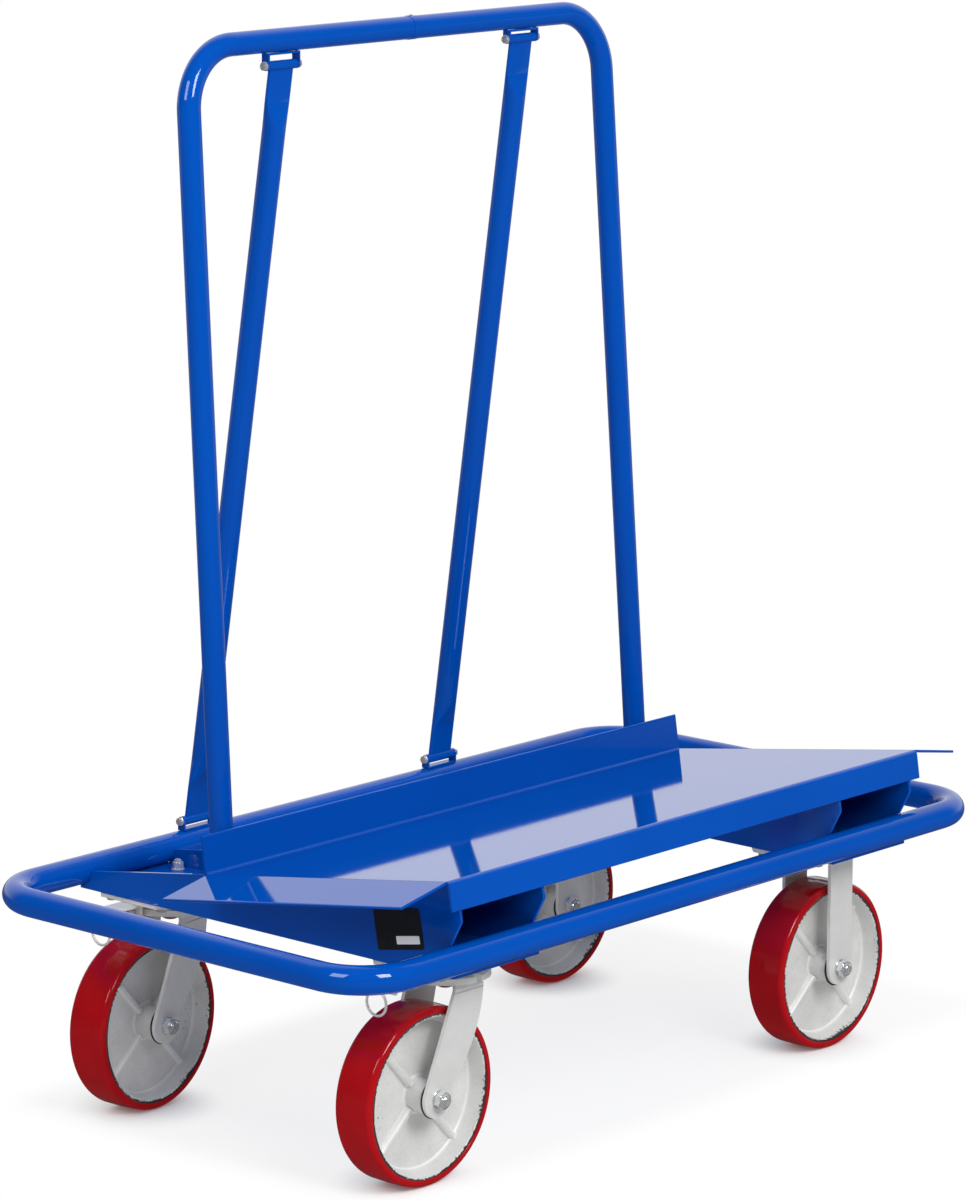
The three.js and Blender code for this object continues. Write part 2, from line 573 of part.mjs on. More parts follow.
// Wheel on its axle, in a group at the axle's centre with the axle along Y
function buildWheel(prefix, axle) {
  const facetShare = 1 / Math.cos(Math.PI / WHEEL_FACETS);
  const outer = WHEEL_RADIUS * facetShare;
  const seat = outer - TREAD_THICKNESS;
  const half = TREAD_WIDTH / 2;
  const soft = TREAD_SHOULDER;
  const tread = [
    [seat, -half],
    [outer - soft, -half],
    [outer, -half + soft],
    [outer, half - soft],
    [outer - soft, half],
    [seat, half],
  ];
  piece(axle, `${prefix}_wheel_tread`, turnedY(tread, WHEEL_FACETS), RED_TREAD);

  const rim = seat - SEAT_GAP;
  const lip = rim - RIM_WALL;
  const web = WEB_THICKNESS / 2;
  const hub = HUB_DIAMETER / 2;
  const bore = BUSH_DIAMETER / 2 + SEAT_GAP;
  const halfProfile = [
    [bore, HUB_WIDTH / 2],
    [hub, HUB_WIDTH / 2],
    [hub + 1, web + HUB_FILLET],
    [hub + HUB_FILLET, web],
    [lip - RIM_DRAFT, web],
    [lip, RIM_WIDTH / 2],
    [rim, RIM_WIDTH / 2],
  ];
  const otherHalf = halfProfile.map(([radius, y]) => [radius, -y]).reverse();
  let core = turnedY([...halfProfile, ...otherHalf], WHEEL_FACETS);
  const ribRoot = hub - 1;
  const ribTip = lip - RIM_DRAFT / 2;
  const ribTop = web + RIB_RISE;
  const rib = outline([
    [ribRoot, -ribTop - RIM_WALL / 2],
    [ribTip, -ribTop],
    [ribTip, ribTop],
    [ribRoot, ribTop + RIM_WALL / 2],
  ]);
  for (let i = 0; i < RIB_COUNT; i++) {
    const angle = RIB_PHASE + (2 * Math.PI * i) / RIB_COUNT;
    const plate = prism(rib, RIB_WIDTH).translate(0, 0, -RIB_WIDTH / 2).rotateY(-angle);
    core = core.add(solid(plate));
  }
  piece(axle, `${prefix}_wheel_core`, core, CAST_ALUMINIUM);

  const sleeve = SLEEVE_DIAMETER / 2;
  const bushBore = sleeve + PIN_GAP;
  const bush = BUSH_DIAMETER / 2;
  const bushHalf = HUB_WIDTH / 2 - 0.5;
  const ring = (inner, out, end) => [[inner, -end], [out, -end], [out, end], [inner, end]];
  const bushBody = turnedY(ring(bushBore, bush, bushHalf), ROUND_SIDES);
  piece(axle, `${prefix}_wheel_bush`, bushBody, BUSH_STEEL);
  const sleeveBore = AXLE_BOLT / 2 + PIN_GAP;
  const sleeveEnd = FORK_INNER - SEAT_GAP;
  const sleeveBody = turnedY(ring(sleeveBore, sleeve, sleeveEnd), ROUND_SIDES);
  piece(axle, `${prefix}_axle_sleeve`, sleeveBody, BUSH_STEEL);

  const face = FORK_OUTER + SEAT_GAP;
  const headHeight = 0.65 * AXLE_BOLT;
  const nutHeight = 0.85 * AXLE_BOLT;
  const tip = face + nutHeight + SEAT_GAP + 0.3 * AXLE_BOLT;
  const hexRadius = 0.87 * AXLE_BOLT;
  const bolt = barY(AXLE_BOLT / 2, -tip, face + 1, 0, 0, ROUND_SIDES);
  const head = barY(hexRadius, face, face + headHeight, 0, 0, 6);
  piece(axle, `${prefix}_axle_bolt`, bolt.add(head), BRIGHT_ZINC);
  const nutBore = barY(AXLE_BOLT / 2 + PIN_GAP, -tip - 1, 0, 0, 0, ROUND_SIDES);
  const nut = barY(hexRadius, -face - nutHeight, -face, 0, 0, 6).subtract(nutBore);
  piece(axle, `${prefix}_axle_nut`, nut, BRIGHT_ZINC);
}

// Bent fork sheet: a U seen from the end, with round shoulders, cut to the leg's side outline
function forkSheet(side, crownTop) {
  const bendX = FORK_OUTER - FORK_BEND;
  const bendZ = crownTop - FORK_BEND;
  const innerBend = FORK_BEND - FORK_SHEET;
  const low = WHEEL_RADIUS - 2 * FORK_EYE;
  const arch = new THREE.Shape();
  arch.moveTo(-FORK_OUTER, low);
  arch.lineTo(-FORK_OUTER, bendZ);
  arch.absarc(-bendX, bendZ, FORK_BEND, Math.PI, Math.PI / 2, true);
  arch.absarc(bendX, bendZ, FORK_BEND, Math.PI / 2, 0, true);
  arch.lineTo(FORK_OUTER, low);
  arch.lineTo(FORK_INNER, low);
  arch.absarc(bendX, bendZ, innerBend, 0, Math.PI / 2, false);
  arch.absarc(-bendX, bendZ, innerBend, Math.PI / 2, Math.PI, false);
  arch.lineTo(-FORK_INNER, low);
  const span = TRAIL + 2 * FORK_EYE;
  const sheet = alongX(arch, -span, span);
  return sheet.intersect(alongY(side, -FORK_OUTER - 1, FORK_OUTER + 1));
}
const axleHole = (x) =>
  barY(AXLE_BOLT / 2 + PIN_GAP, -2 * FORK_OUTER, 2 * FORK_OUTER, x, WHEEL_RADIUS, ROUND_SIDES);

// Caster top plate with clipped corners
function casterPlate() {
  const halfX = PLATE_LENGTH / 2;
  const halfY = PLATE_WIDTH / 2;
  const clip = PLATE_CHAMFER;
  const shape = outline([
    [-halfX + clip, -halfY],
    [halfX - clip, -halfY],
    [halfX, -halfY + clip],
    [halfX, halfY - clip],
    [halfX - clip, halfY],
    [-halfX + clip, halfY],
    [-halfX, halfY - clip],
    [-halfX, -halfY + clip],
  ]);
  const plate = alongZ(shape, CASTER_HEIGHT - PLATE_SHEET, CASTER_HEIGHT);
  return plate.subtract(plateHoles(0, 0, CASTER_HEIGHT - 2 * PLATE_SHEET, CASTER_HEIGHT + 1));
}

// Rigid caster: straight legs under the plate, in one piece
function buildRigidCaster(prefix, y) {
  const caster = groupAt(cart, CHANNEL_X, y, 0);
  const half = RIGID_LEG / 2;
  const side = new THREE.Shape();
  side.moveTo(-half, CASTER_HEIGHT);
  side.lineTo(-half, WHEEL_RADIUS);
  side.absarc(0, WHEEL_RADIUS, half, Math.PI, 2 * Math.PI, false);
  side.lineTo(half, CASTER_HEIGHT);
  const fork = forkSheet(side, CASTER_HEIGHT).add(casterPlate()).subtract(axleHole(0));
  piece(caster, `${prefix}_rigid_fork`, fork, ZINC);
  buildWheel(prefix, groupAt(caster, 0, 0, WHEEL_RADIUS));
}

// Heights of the swivel head, from the top plate down
const RACE_BOTTOM = CASTER_HEIGHT - PLATE_SHEET - RACE_DEPTH;
const LOCK_RING_TOP = RACE_BOTTOM - BALL_SIZE - 2 * SEAT_GAP;
const CROWN_TOP = LOCK_RING_TOP - LOCK_RING_SHEET;
const LOCK_Z = LOCK_RING_TOP - LOCK_RING_SHEET / 2;

// Swivel caster, in a group on its swivel axis, trailing to the left
function buildSwivelCaster(prefix, y, yaw) {
  const caster = groupAt(cart, -CHANNEL_X, y, 0);
  const turned = groupAt(caster, 0, 0, 0);
  turned.rotation.z = yaw;
  const race = [
    [KINGPIN, RACE_BOTTOM],
    [RACE_RADIUS - RACE_DEPTH, RACE_BOTTOM],
    [RACE_RADIUS, CASTER_HEIGHT - PLATE_SHEET + 1],
    [KINGPIN, CASTER_HEIGHT - PLATE_SHEET + 1],
  ];
  const pinSpace = KINGPIN / 2 + PIN_GAP;
  const above = CASTER_HEIGHT + 1;
  const pinHole = barZ(pinSpace, CROWN_TOP - 2 * FORK_SHEET, above, 0, 0, ROUND_SIDES);
  const headSpace = barZ(KINGPIN, CASTER_HEIGHT - 0.6 * PLATE_SHEET, above, 0, 0, ROUND_SIDES);
  const plate = casterPlate().add(turnedZ(race, LOCK_RING_SIDES)).subtract(pinHole).subtract(headSpace);
  piece(caster, `${prefix}_swivel_plate`, plate, ZINC);

  const ballMiddle = RACE_BOTTOM - SEAT_GAP - BALL_SIZE / 2;
  const ballHalf = BALL_SIZE / 2;
  const ballRing = [
    [BALL_RING_RADIUS - BALL_SIZE, ballMiddle],
    [BALL_RING_RADIUS - ballHalf, ballMiddle - ballHalf],
    [BALL_RING_RADIUS + ballHalf, ballMiddle - ballHalf],
    [BALL_RING_RADIUS + BALL_SIZE, ballMiddle],
    [BALL_RING_RADIUS + ballHalf, ballMiddle + ballHalf],
    [BALL_RING_RADIUS - ballHalf, ballMiddle + ballHalf],
  ];
  piece(caster, `${prefix}_ball_ring`, turnedZ(ballRing, ROUND_SIDES), BUSH_STEEL);

  const crownBottom = CROWN_TOP - FORK_SHEET;
  const nutTop = crownBottom - SEAT_GAP;
  const headBottom = CASTER_HEIGHT - 0.6 * PLATE_SHEET + SEAT_GAP;
  const shank = barZ(KINGPIN / 2, nutTop - 1, headBottom + 1, 0, 0, ROUND_SIDES);
  const head = barZ(KINGPIN - 2 * SEAT_GAP, headBottom, CASTER_HEIGHT - SEAT_GAP, 0, 0, ROUND_SIDES);
  const dome = turnedZ(
    [
      [0, nutTop - KINGPIN_NUT_HEIGHT],
      [0.7 * (KINGPIN_NUT / 2), nutTop - KINGPIN_NUT_HEIGHT],
      [KINGPIN_NUT / 2, nutTop - 0.5 * KINGPIN_NUT_HEIGHT],
      [KINGPIN_NUT / 2, nutTop],
      [0, nutTop],
    ],
    ROUND_SIDES,
  );
  piece(caster, `${prefix}_kingpin`, shank.add(head).add(dome), BRIGHT_ZINC);

  buildSwivelFork(turned, prefix, pinHole, yaw);
  buildWheel(prefix, groupAt(turned, -TRAIL, 0, WHEEL_RADIUS));
  buildLock(caster, prefix);
}

// Swivel fork: bent sheet with raked legs, under a lock ring whose notches keep in line with the pin
function buildSwivelFork(turned, prefix, pinHole, yaw) {
  const backTangent = THREE.MathUtils.degToRad(153);
  const frontTangent = THREE.MathUtils.degToRad(20);
  const backX = -TRAIL + FORK_EYE * Math.cos(backTangent);
  const backZ = WHEEL_RADIUS + FORK_EYE * Math.sin(backTangent);
  const side = new THREE.Shape();
  side.moveTo(-FORK_CROWN_BACK, CROWN_TOP);
  side.lineTo(backX, backZ);
  side.absarc(-TRAIL, WHEEL_RADIUS, FORK_EYE, backTangent, frontTangent + 2 * Math.PI, false);
  const middle = (CROWN_TOP + WHEEL_RADIUS) / 2;
  side.quadraticCurveTo(FORK_CROWN_FRONT, middle, FORK_CROWN_FRONT, CROWN_TOP);
  const lockRing = barZ(LOCK_RING_RADIUS, CROWN_TOP - 1, LOCK_RING_TOP, 0, 0, LOCK_RING_SIDES);
  let fork = forkSheet(side, CROWN_TOP).add(lockRing);
  const notchHalf = LOCK_PIN / 2 + PIN_GAP;
  const notchRoot = LOCK_RING_RADIUS - LOCK_TRAVEL;
  for (let i = 0; i < LOCK_NOTCHES; i++) {
    const notch = new THREE.BoxGeometry(2 * LOCK_TRAVEL, 2 * notchHalf, 4 * LOCK_RING_SHEET);
    const heading = (2 * Math.PI * i) / LOCK_NOTCHES - yaw;
    notch.translate(notchRoot + LOCK_TRAVEL, 0, LOCK_Z).rotateZ(heading);
    fork = fork.subtract(solid(notch));
  }
  fork = fork.subtract(pinHole).subtract(axleHole(-TRAIL));
  piece(turned, `${prefix}_swivel_fork`, fork, ZINC);
}

// Direction lock: bracket under the plate, sprung pin aimed at the axis, and a pull ring on its tail
function buildLock(caster, prefix) {
  const pin = LOCK_PIN / 2;
  const tip = -LOCK_RING_RADIUS - LOCK_TIP_GAP;
  const innerEar = tip - 4; // inner face of the first ear
  const spanStart = innerEar - LOCK_SHEET;
  const spanEnd = spanStart - LOCK_SPAN;
  const outerFace = spanEnd - LOCK_SHEET;
  const strapTop = CASTER_HEIGHT - PLATE_SHEET - SEAT_GAP;
  const strapBottom = strapTop - LOCK_SHEET;
  const earBottom = LOCK_Z - LOCK_EAR_REACH;
  const bracketSide = outline([
    [outerFace, strapTop],
    [outerFace, earBottom],
    [spanEnd, earBottom],
    [spanEnd, strapBottom],
    [spanStart, strapBottom],
    [spanStart, earBottom],
    [innerEar, earBottom],
    [innerEar, strapTop],
  ]);
  const bore = barX(pin + PIN_GAP, outerFace - 1, innerEar + 1, 0, LOCK_Z, ROUND_SIDES);
  const bracket = alongY(bracketSide, -LOCK_WIDTH / 2, LOCK_WIDTH / 2).subtract(bore);
  piece(caster, `${prefix}_lock_bracket`, bracket, ZINC);

  const tail = outerFace - LOCK_TAIL;
  const eyeX = tail + LOCK_PIN / 2;
  const collarIn = spanStart - LOCK_TRAVEL - SEAT_GAP;
  const collarOut = collarIn - LOCK_COLLAR_WIDTH;
  const collar = barX(LOCK_COLLAR / 2, collarOut, collarIn, 0, LOCK_Z, ROUND_SIDES);
  const eye = barY(PULL_EYE / 2, -LOCK_PIN, LOCK_PIN, eyeX, LOCK_Z, HOLE_SIDES);
  const lockPin = barX(pin, tail, tip, 0, LOCK_Z, ROUND_SIDES).add(collar).subtract(eye);
  piece(caster, `${prefix}_lock_pin`, lockPin, BRIGHT_ZINC);

  const wire = SPRING_WIRE / 2;
  const springStart = spanEnd + SEAT_GAP + wire;
  const springEnd = collarOut - SEAT_GAP - wire;
  piece(caster, `${prefix}_lock_spring`, spring(springStart, springEnd, wire), BUSH_STEEL);

  const ring = new THREE.TorusGeometry(PULL_RING_DIAMETER / 2, PULL_RING_WIRE / 2, 6, 16);
  ring.rotateY(Math.PI / 2).translate(eyeX, 0, LOCK_Z - PULL_RING_DIAMETER / 2);
  piece(caster, `${prefix}_pull_ring`, solid(ring), BRIGHT_ZINC);
}

// Coil spring about the lock pin: a round wire on a helix along X
function spring(from, to, wire) {
  const radius = SPRING_DIAMETER / 2;
  const steps = SPRING_COILS * SPRING_STEPS;
  const pitch = (to - from) / SPRING_COILS;
  const lead = pitch / (2 * Math.PI);
  const centres = Array.from({ length: steps + 1 }, (_, i) => {
    const turn = (2 * Math.PI * i) / SPRING_STEPS;
    const out = new THREE.Vector3(0, Math.cos(turn), Math.sin(turn));
    const onward = new THREE.Vector3(lead, -radius * Math.sin(turn), radius * Math.cos(turn));
    const point = out.clone().multiplyScalar(radius);
    point.add(new THREE.Vector3(from + lead * turn, 0, LOCK_Z));
    return { point, out, onward };
  });
  const gaps = centres.flatMap(({ point }, i) =>
    centres.slice(i + SPRING_STEPS / 2).map((other) => other.point.distanceTo(point)),
  );
  console.log("spring: least gap between coils", (Math.min(...gaps) - 2 * wire).toFixed(2), "mm");
  const sections = centres.map(({ point, out, onward }) =>
    roundSection(point, out, onward.clone().cross(out).normalize(), wire, SPRING_SIDES),
  );
  return loft(sections);
}

buildRing();
buildChannel("left_channel", -CHANNEL_X);
buildChannel("right_channel", CHANNEL_X);
buildTray();
buildUpright();
buildBrace(-1, "left");
buildBrace(1, "right");
buildSwivelCaster("front_left", -CASTER_Y, 0);
buildSwivelCaster("back_left", CASTER_Y, BACK_YAW);
buildRigidCaster("front_right", -CASTER_Y);
buildRigidCaster("back_right", CASTER_Y);

export default cart;
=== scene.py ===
import json

import bmesh
import bpy
import numpy as np
from mathutils import Matrix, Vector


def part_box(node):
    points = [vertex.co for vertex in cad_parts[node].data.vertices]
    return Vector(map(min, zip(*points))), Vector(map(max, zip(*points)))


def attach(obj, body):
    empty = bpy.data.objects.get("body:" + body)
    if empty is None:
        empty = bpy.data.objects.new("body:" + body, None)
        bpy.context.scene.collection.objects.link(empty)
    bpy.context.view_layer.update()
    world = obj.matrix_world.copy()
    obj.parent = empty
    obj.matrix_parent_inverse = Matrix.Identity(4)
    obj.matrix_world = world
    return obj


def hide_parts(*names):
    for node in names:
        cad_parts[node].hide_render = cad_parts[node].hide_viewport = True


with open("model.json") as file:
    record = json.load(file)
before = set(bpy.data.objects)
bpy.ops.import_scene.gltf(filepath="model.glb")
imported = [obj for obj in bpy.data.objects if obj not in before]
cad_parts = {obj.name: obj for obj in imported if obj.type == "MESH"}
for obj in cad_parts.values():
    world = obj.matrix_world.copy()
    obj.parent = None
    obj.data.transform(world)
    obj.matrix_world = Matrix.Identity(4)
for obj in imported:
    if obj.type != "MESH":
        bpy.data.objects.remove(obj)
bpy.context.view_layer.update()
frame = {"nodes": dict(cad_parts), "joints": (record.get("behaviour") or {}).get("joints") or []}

# Base ring
# One closed loop of round steel tube, cold bent at its four corners, with the ends butt welded.
# Gloss blue powder coat, sprayed and baked, which sets with a faint orange peel.
RING_LENGTH = 1.096
RING_WIDTH = 0.600
RING_TUBE = 0.032
RING_BEND = 0.065
BLUE_DEEP = (0.0, 0.058, 0.35)
BLUE_BRIGHT = (0.0, 0.070, 0.41)
BLUE_IOR = 1.5
BLUE_ROUGHNESS = 0.03
DRIFT_SCALE = 6.0
PEEL_SCALE = 380.0
PEEL_DEPTH = 0.0004


class Shade:
    """A socket in a material's nodes. Operators on it add Math nodes."""

    def __init__(self, tree, socket):
        self.tree = tree
        self.socket = socket

    def node(self, kind, settings, sockets, out=0):
        """Any other node, from its type, its settings and the values or links of its sockets."""
        made = self.tree.nodes.new(kind)
        for name, value in settings.items():
            setattr(made, name, value)
        for name, value in sockets.items():
            if isinstance(value, Shade):
                self.tree.links.new(value.socket, made.inputs[name])
            else:
                made.inputs[name].default_value = value
        return Shade(self.tree, made.outputs[out])

    def maths(self, operation, first, second):
        return self.node("ShaderNodeMath", {"operation": operation}, {0: first, 1: second})

    def __add__(self, other):
        return self.maths("ADD", self, other)

    def __radd__(self, other):
        return self.maths("ADD", other, self)

    def __sub__(self, other):
        return self.maths("SUBTRACT", self, other)

    def __rsub__(self, other):
        return self.maths("SUBTRACT", other, self)

    def __mul__(self, other):
        return self.maths("MULTIPLY", self, other)

    def __rmul__(self, other):
        return self.maths("MULTIPLY", other, self)


def new_finish(name, constants):
    """A material whose shader holds the constants, with its Object coordinates."""
    material = bpy.data.materials.new(name)
    material.use_nodes = True
    tree = material.node_tree
    for socket, value in constants.items():
        tree.nodes["Principled BSDF"].inputs[socket].default_value = value
    place = tree.nodes.new("ShaderNodeTexCoord")
    return material, Shade(tree, place.outputs["Object"])


def feed(material, shades):
    """Links each named shader socket to what varies over the surface."""
    tree = material.node_tree
    for socket, shade in shades.items():
        tree.links.new(shade.socket, tree.nodes["Principled BSDF"].inputs[socket])


def noise(place, scale, detail=2.0):
    """Soft random values around a half, with scale patches to the metre."""
    return place.node("ShaderNodeTexNoise", {}, {"Vector": place, "Scale": scale, "Detail": detail})


def ramp(shade, low, high):
    """0 below low, 1 above high, eased between."""
    sockets = {"Value": shade, "From Min": low, "From Max": high}
    return shade.node("ShaderNodeMapRange", {"interpolation_type": "SMOOTHSTEP"}, sockets)


def tint(factor, first, second):
    """A colour that goes from the first to the second as the factor goes from 0 to 1."""
    colours = {0: factor}
    for index, colour in ((6, first), (7, second)):
        colours[index] = colour if isinstance(colour, Shade) else (*colour, 1.0)
    return factor.node("ShaderNodeMix", {"data_type": "RGBA"}, colours, out=2)


def bump(height, strength, distance):
    """A shading normal tilted by the slope of the height."""
    sockets = {"Strength": strength, "Distance": distance, "Height": height}
    return height.node("ShaderNodeBump", {}, sockets)


blue_coat, place = new_finish("blue_powder_coat", {"IOR": BLUE_IOR})
drift = noise(place, DRIFT_SCALE)
peel = noise(place, PEEL_SCALE, 1.0)
feed(
    blue_coat,
    {
        "Base Color": tint(drift, BLUE_DEEP, BLUE_BRIGHT),
        "Roughness": BLUE_ROUGHNESS + BLUE_ROUGHNESS * drift,
        "Normal": bump(peel, 0.03, PEEL_DEPTH),
    },
)


def unit(vector):
    """The vector over its length."""
    return vector / np.linalg.norm(vector)


def middle(node):
    """Half way between the low and high corners of a CAD node's box."""
    low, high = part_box(node)
    return (np.array(low) + np.array(high)) / 2


BEND_SUPPORT = 0.06


def bent_run(corners, bends, closed=False, steps=14):
    """Points and headings along straight runs joined by arcs.

    At a corner the run turns from heading a through angle t towards n, square to a:
    point = start + bend (sin t a + (1 - cos t) n), heading = cos t a + sin t n.
    A station just outside each arc keeps the straight runs flat in shading.
    """
    corners = np.asarray(corners, dtype=float)
    bends = np.broadcast_to(bends, len(corners))
    points, headings = [], []
    for i, corner in enumerate(corners):
        into = unit(corner - corners[i - 1])
        onward = unit(corners[(i + 1) % len(corners)] - corner)
        if not closed and i in (0, len(corners) - 1):
            points.append(corner[None])
            headings.append((into if i else onward)[None])
            continue
        turn = np.arccos(into @ onward)
        aside = unit(onward - into * (into @ onward))
        if not bends[i]:
            points.append(corner[None])
            headings.append(unit(into + onward)[None])
            continue
        t = np.linspace(0, turn, steps)[:, None]
        start = corner - into * bends[i] * np.tan(turn / 2)
        arc = start + bends[i] * (np.sin(t) * into + (1 - np.cos(t)) * aside)
        beside = BEND_SUPPORT * bends[i]
        points += [arc[:1] - beside * into, arc, arc[-1:] + beside * onward]
        headings += [into[None], np.cos(t) * into + np.sin(t) * aside, onward[None]]
    return np.vstack(points), np.vstack(headings)


def round_tube(points, headings, normal, radius, sides=40):
    """A tube bent in one plane: centre + radius (cos a across + sin a normal),
    where across is normal x heading."""
    a = np.linspace(0, 2 * np.pi, sides, endpoint=False)[:, None]
    across = np.cross(normal, headings)[:, None]
    return points[:, None] + radius * (np.cos(a) * across + np.sin(a) * np.asarray(normal))


def skin(grid, closed_rows=False, capped=True):
    """A grid of points whose columns close on themselves: a quad between neighbours, and a cap on
    the first and last row unless the rows close as well."""
    rows, columns = grid.shape[:2]
    index = np.arange(rows * columns).reshape(rows, columns)
    caps = [] if closed_rows or not capped else [index[0, ::-1], index[-1]]
    if closed_rows:
        index = np.vstack([index, index[:1]])
    index = np.hstack([index, index[:, :1]])
    quads = np.stack([index[:-1, :-1], index[:-1, 1:], index[1:, 1:], index[1:, :-1]], axis=-1)
    return grid.reshape(-1, 3), quads.reshape(-1, 4), caps


EDGE_STEPS = 2
EDGE_ANGLE = np.radians(40)
MERGE_GAP = 1e-6


def show(name, mesh, material, body, replaced=(), edge=0.0, sharp=35.0):
    """Puts a finished mesh in the scene on its body, with its edges broken by a small round."""
    mesh.shade_smooth()
    mesh.set_sharp_from_angle(angle=np.radians(sharp))
    mesh.materials.append(material)
    made = bpy.data.objects.new(name, mesh)
    bpy.context.scene.collection.objects.link(made)
    if edge:
        soften = made.modifiers.new("broken_edges", "BEVEL")
        soften.width = edge
        soften.segments = EDGE_STEPS
        soften.limit_method = "ANGLE"
        soften.angle_limit = EDGE_ANGLE
        soften.harden_normals = True
    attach(made, body)
    if replaced:
        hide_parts(*replaced)
    return made


def make_piece(name, skins, material, body, replaced=(), edge=0.0, sharp=35.0):
    """One piece from its closed skins, with doubles merged and faces turned out."""
    points, faces, start = [], [], 0
    for corners, quads, caps in skins:
        points.append(corners)
        faces += (quads + start).tolist() + [(cap + start).tolist() for cap in caps]
        start += len(corners)
    mesh = bpy.data.meshes.new(name)
    mesh.from_pydata(np.vstack(points).tolist(), [], faces)
    build = bmesh.new()
    build.from_mesh(mesh)
    bmesh.ops.remove_doubles(build, verts=build.verts, dist=MERGE_GAP)
    bmesh.ops.recalc_face_normals(build, faces=build.faces)
    build.to_mesh(mesh)
    build.free()
    return show(name, mesh, material, body, replaced, edge, sharp)


ring_z = middle("base_ring")[2]
ring_half_x = (RING_LENGTH - RING_TUBE) / 2
ring_half_y = (RING_WIDTH - RING_TUBE) / 2
ring_corners = [
    (-ring_half_x, -ring_half_y, ring_z),
    (ring_half_x, -ring_half_y, ring_z),
    (ring_half_x, ring_half_y, ring_z),
    (-ring_half_x, ring_half_y, ring_z),
]
UP = np.array([0.0, 0.0, 1.0])
ring_run = bent_run(ring_corners, RING_BEND, closed=True, steps=24)
make_piece(
    "base_ring_tube",
    [skin(round_tube(*ring_run, UP, RING_TUBE / 2, sides=48), closed_rows=True)],
    blue_coat,
    "frame",
    ["base_ring"],
)

# Cross channels
# Two U channels folded from sheet steel, coped to the ring's tubes and welded over them.
# The tray lies on their sloping edges and the caster plates are bolted under their floors.
CHANNEL_SHEET = 0.004
CHANNEL_EDGE = 0.0009
CORNER_GAP = 1e-5
FLAT_ANGLE = 0.01


def sheet_copy(node):
    """The node's own solid with its corners merged and its flat faces made whole again."""
    build = bmesh.new()
    build.from_mesh(frame["nodes"][node].data)
    bmesh.ops.remove_doubles(build, verts=build.verts, dist=CORNER_GAP)
    bmesh.ops.dissolve_limit(build, angle_limit=FLAT_ANGLE, verts=build.verts, edges=build.edges)
    mesh = bpy.data.meshes.new(node + "_folded")
    build.to_mesh(mesh)
    build.free()
    return mesh


for node in ("left_channel", "right_channel"):
    folded = sheet_copy(node)
    show(node + "_folded", folded, blue_coat, "frame", [node], CHANNEL_EDGE)

# Deck tray
# One sheet of steel folded up at the back and down at the front, tilted so that sheets lean
# against the upright, with a drooping tab at each end. Welded to the channels, same coat.
TRAY_LENGTH = 0.819
TRAY_DEPTH = 0.364
TRAY_TILT = np.radians(8.7)
TRAY_SHEET = 0.003
TRAY_FOLD = 0.0025
TRAY_BACK_RISE = 0.0355
TRAY_OVERHANG = 0.006
BACK_FLANGE = 0.041
FRONT_FLANGE = 0.032
TAB_LENGTH = 0.074
TAB_DROOP = np.radians(10)
TAB_BEND = 0.006
TAB_INSET = 0.0035
EDGE_SUPPORT = 0.0015


def bent_sheet(corners, bend, thickness):
    """Closed section of a bent sheet: its middle line moved half a thickness to either side, with
    each free edge rounded: end + half (cos t heading + sin t aside). A station just inside each
    edge keeps the faces flat in shading."""
    points, headings = bent_run(corners, bend, steps=8)
    inner = [points[0] + EDGE_SUPPORT * headings[0], points[-1] - EDGE_SUPPORT * headings[-1]]
    points = np.vstack([points[:1], inner[:1], points[1:-1], inner[1:], points[-1:]])
    headings = np.vstack([headings[:1], headings, headings[-1:]])
    aside = np.stack([-headings[:, 1], headings[:, 0]], axis=1)
    half = thickness / 2
    t = np.linspace(-np.pi / 2, np.pi / 2, 7)[1:-1, None]
    last = points[-1] + half * (np.cos(t) * headings[-1] - np.sin(t) * aside[-1])
    first = points[0] - half * (np.cos(t) * headings[0] - np.sin(t) * aside[0])
    return np.vstack([points + half * aside, last, (points - half * aside)[::-1], first])


def carried(section, stations, origin, right, up, along):
    """A section carried along a line: origin + x right + y up + station along."""
    flat = section[:, :1] * right + section[:, 1:] * up
    return origin + flat[None] + np.asarray(stations)[:, None, None] * along


RIGHT = np.array([1.0, 0.0, 0.0])
tray_forward = np.array([0.0, -np.cos(TRAY_TILT), np.sin(TRAY_TILT)])
tray_up = np.array([0.0, np.sin(TRAY_TILT), np.cos(TRAY_TILT)])
tray_back_y = TRAY_DEPTH * np.cos(TRAY_TILT) - ring_half_y - TRAY_OVERHANG
tray_back = np.array([0.0, tray_back_y, ring_z + TRAY_BACK_RISE])
mid_sheet = TRAY_SHEET / 2
tray_section = bent_sheet(
    [
        (-mid_sheet, BACK_FLANGE),
        (-mid_sheet, -mid_sheet),
        (TRAY_DEPTH - mid_sheet, -mid_sheet),
        (TRAY_DEPTH - mid_sheet, -FRONT_FLANGE),
    ],
    TRAY_FOLD + mid_sheet,
    TRAY_SHEET,
)
tray_ends = (-TRAY_LENGTH / 2, TRAY_LENGTH / 2)
tray_skins = [skin(carried(tray_section, tray_ends, tray_back, tray_forward, tray_up, RIGHT))]
tab_section = bent_sheet(
    [
        (0.0, -mid_sheet),
        (TAB_BEND / 4, -mid_sheet),
        (TAB_LENGTH * np.cos(TAB_DROOP), -mid_sheet - TAB_LENGTH * np.sin(TAB_DROOP)),
    ],
    TAB_BEND,
    TRAY_SHEET,
)
tab_ends = (TAB_INSET, TRAY_DEPTH - TAB_INSET)
for side in (-1, 1):
    tab_root = tray_back + side * RIGHT * TRAY_LENGTH / 2
    tab = carried(tab_section, tab_ends, tab_root, side * RIGHT, tray_up, tray_forward)
    tray_skins.append(skin(tab))
make_piece("deck_tray_sheet", tray_skins, blue_coat, "frame", ["deck_tray"])

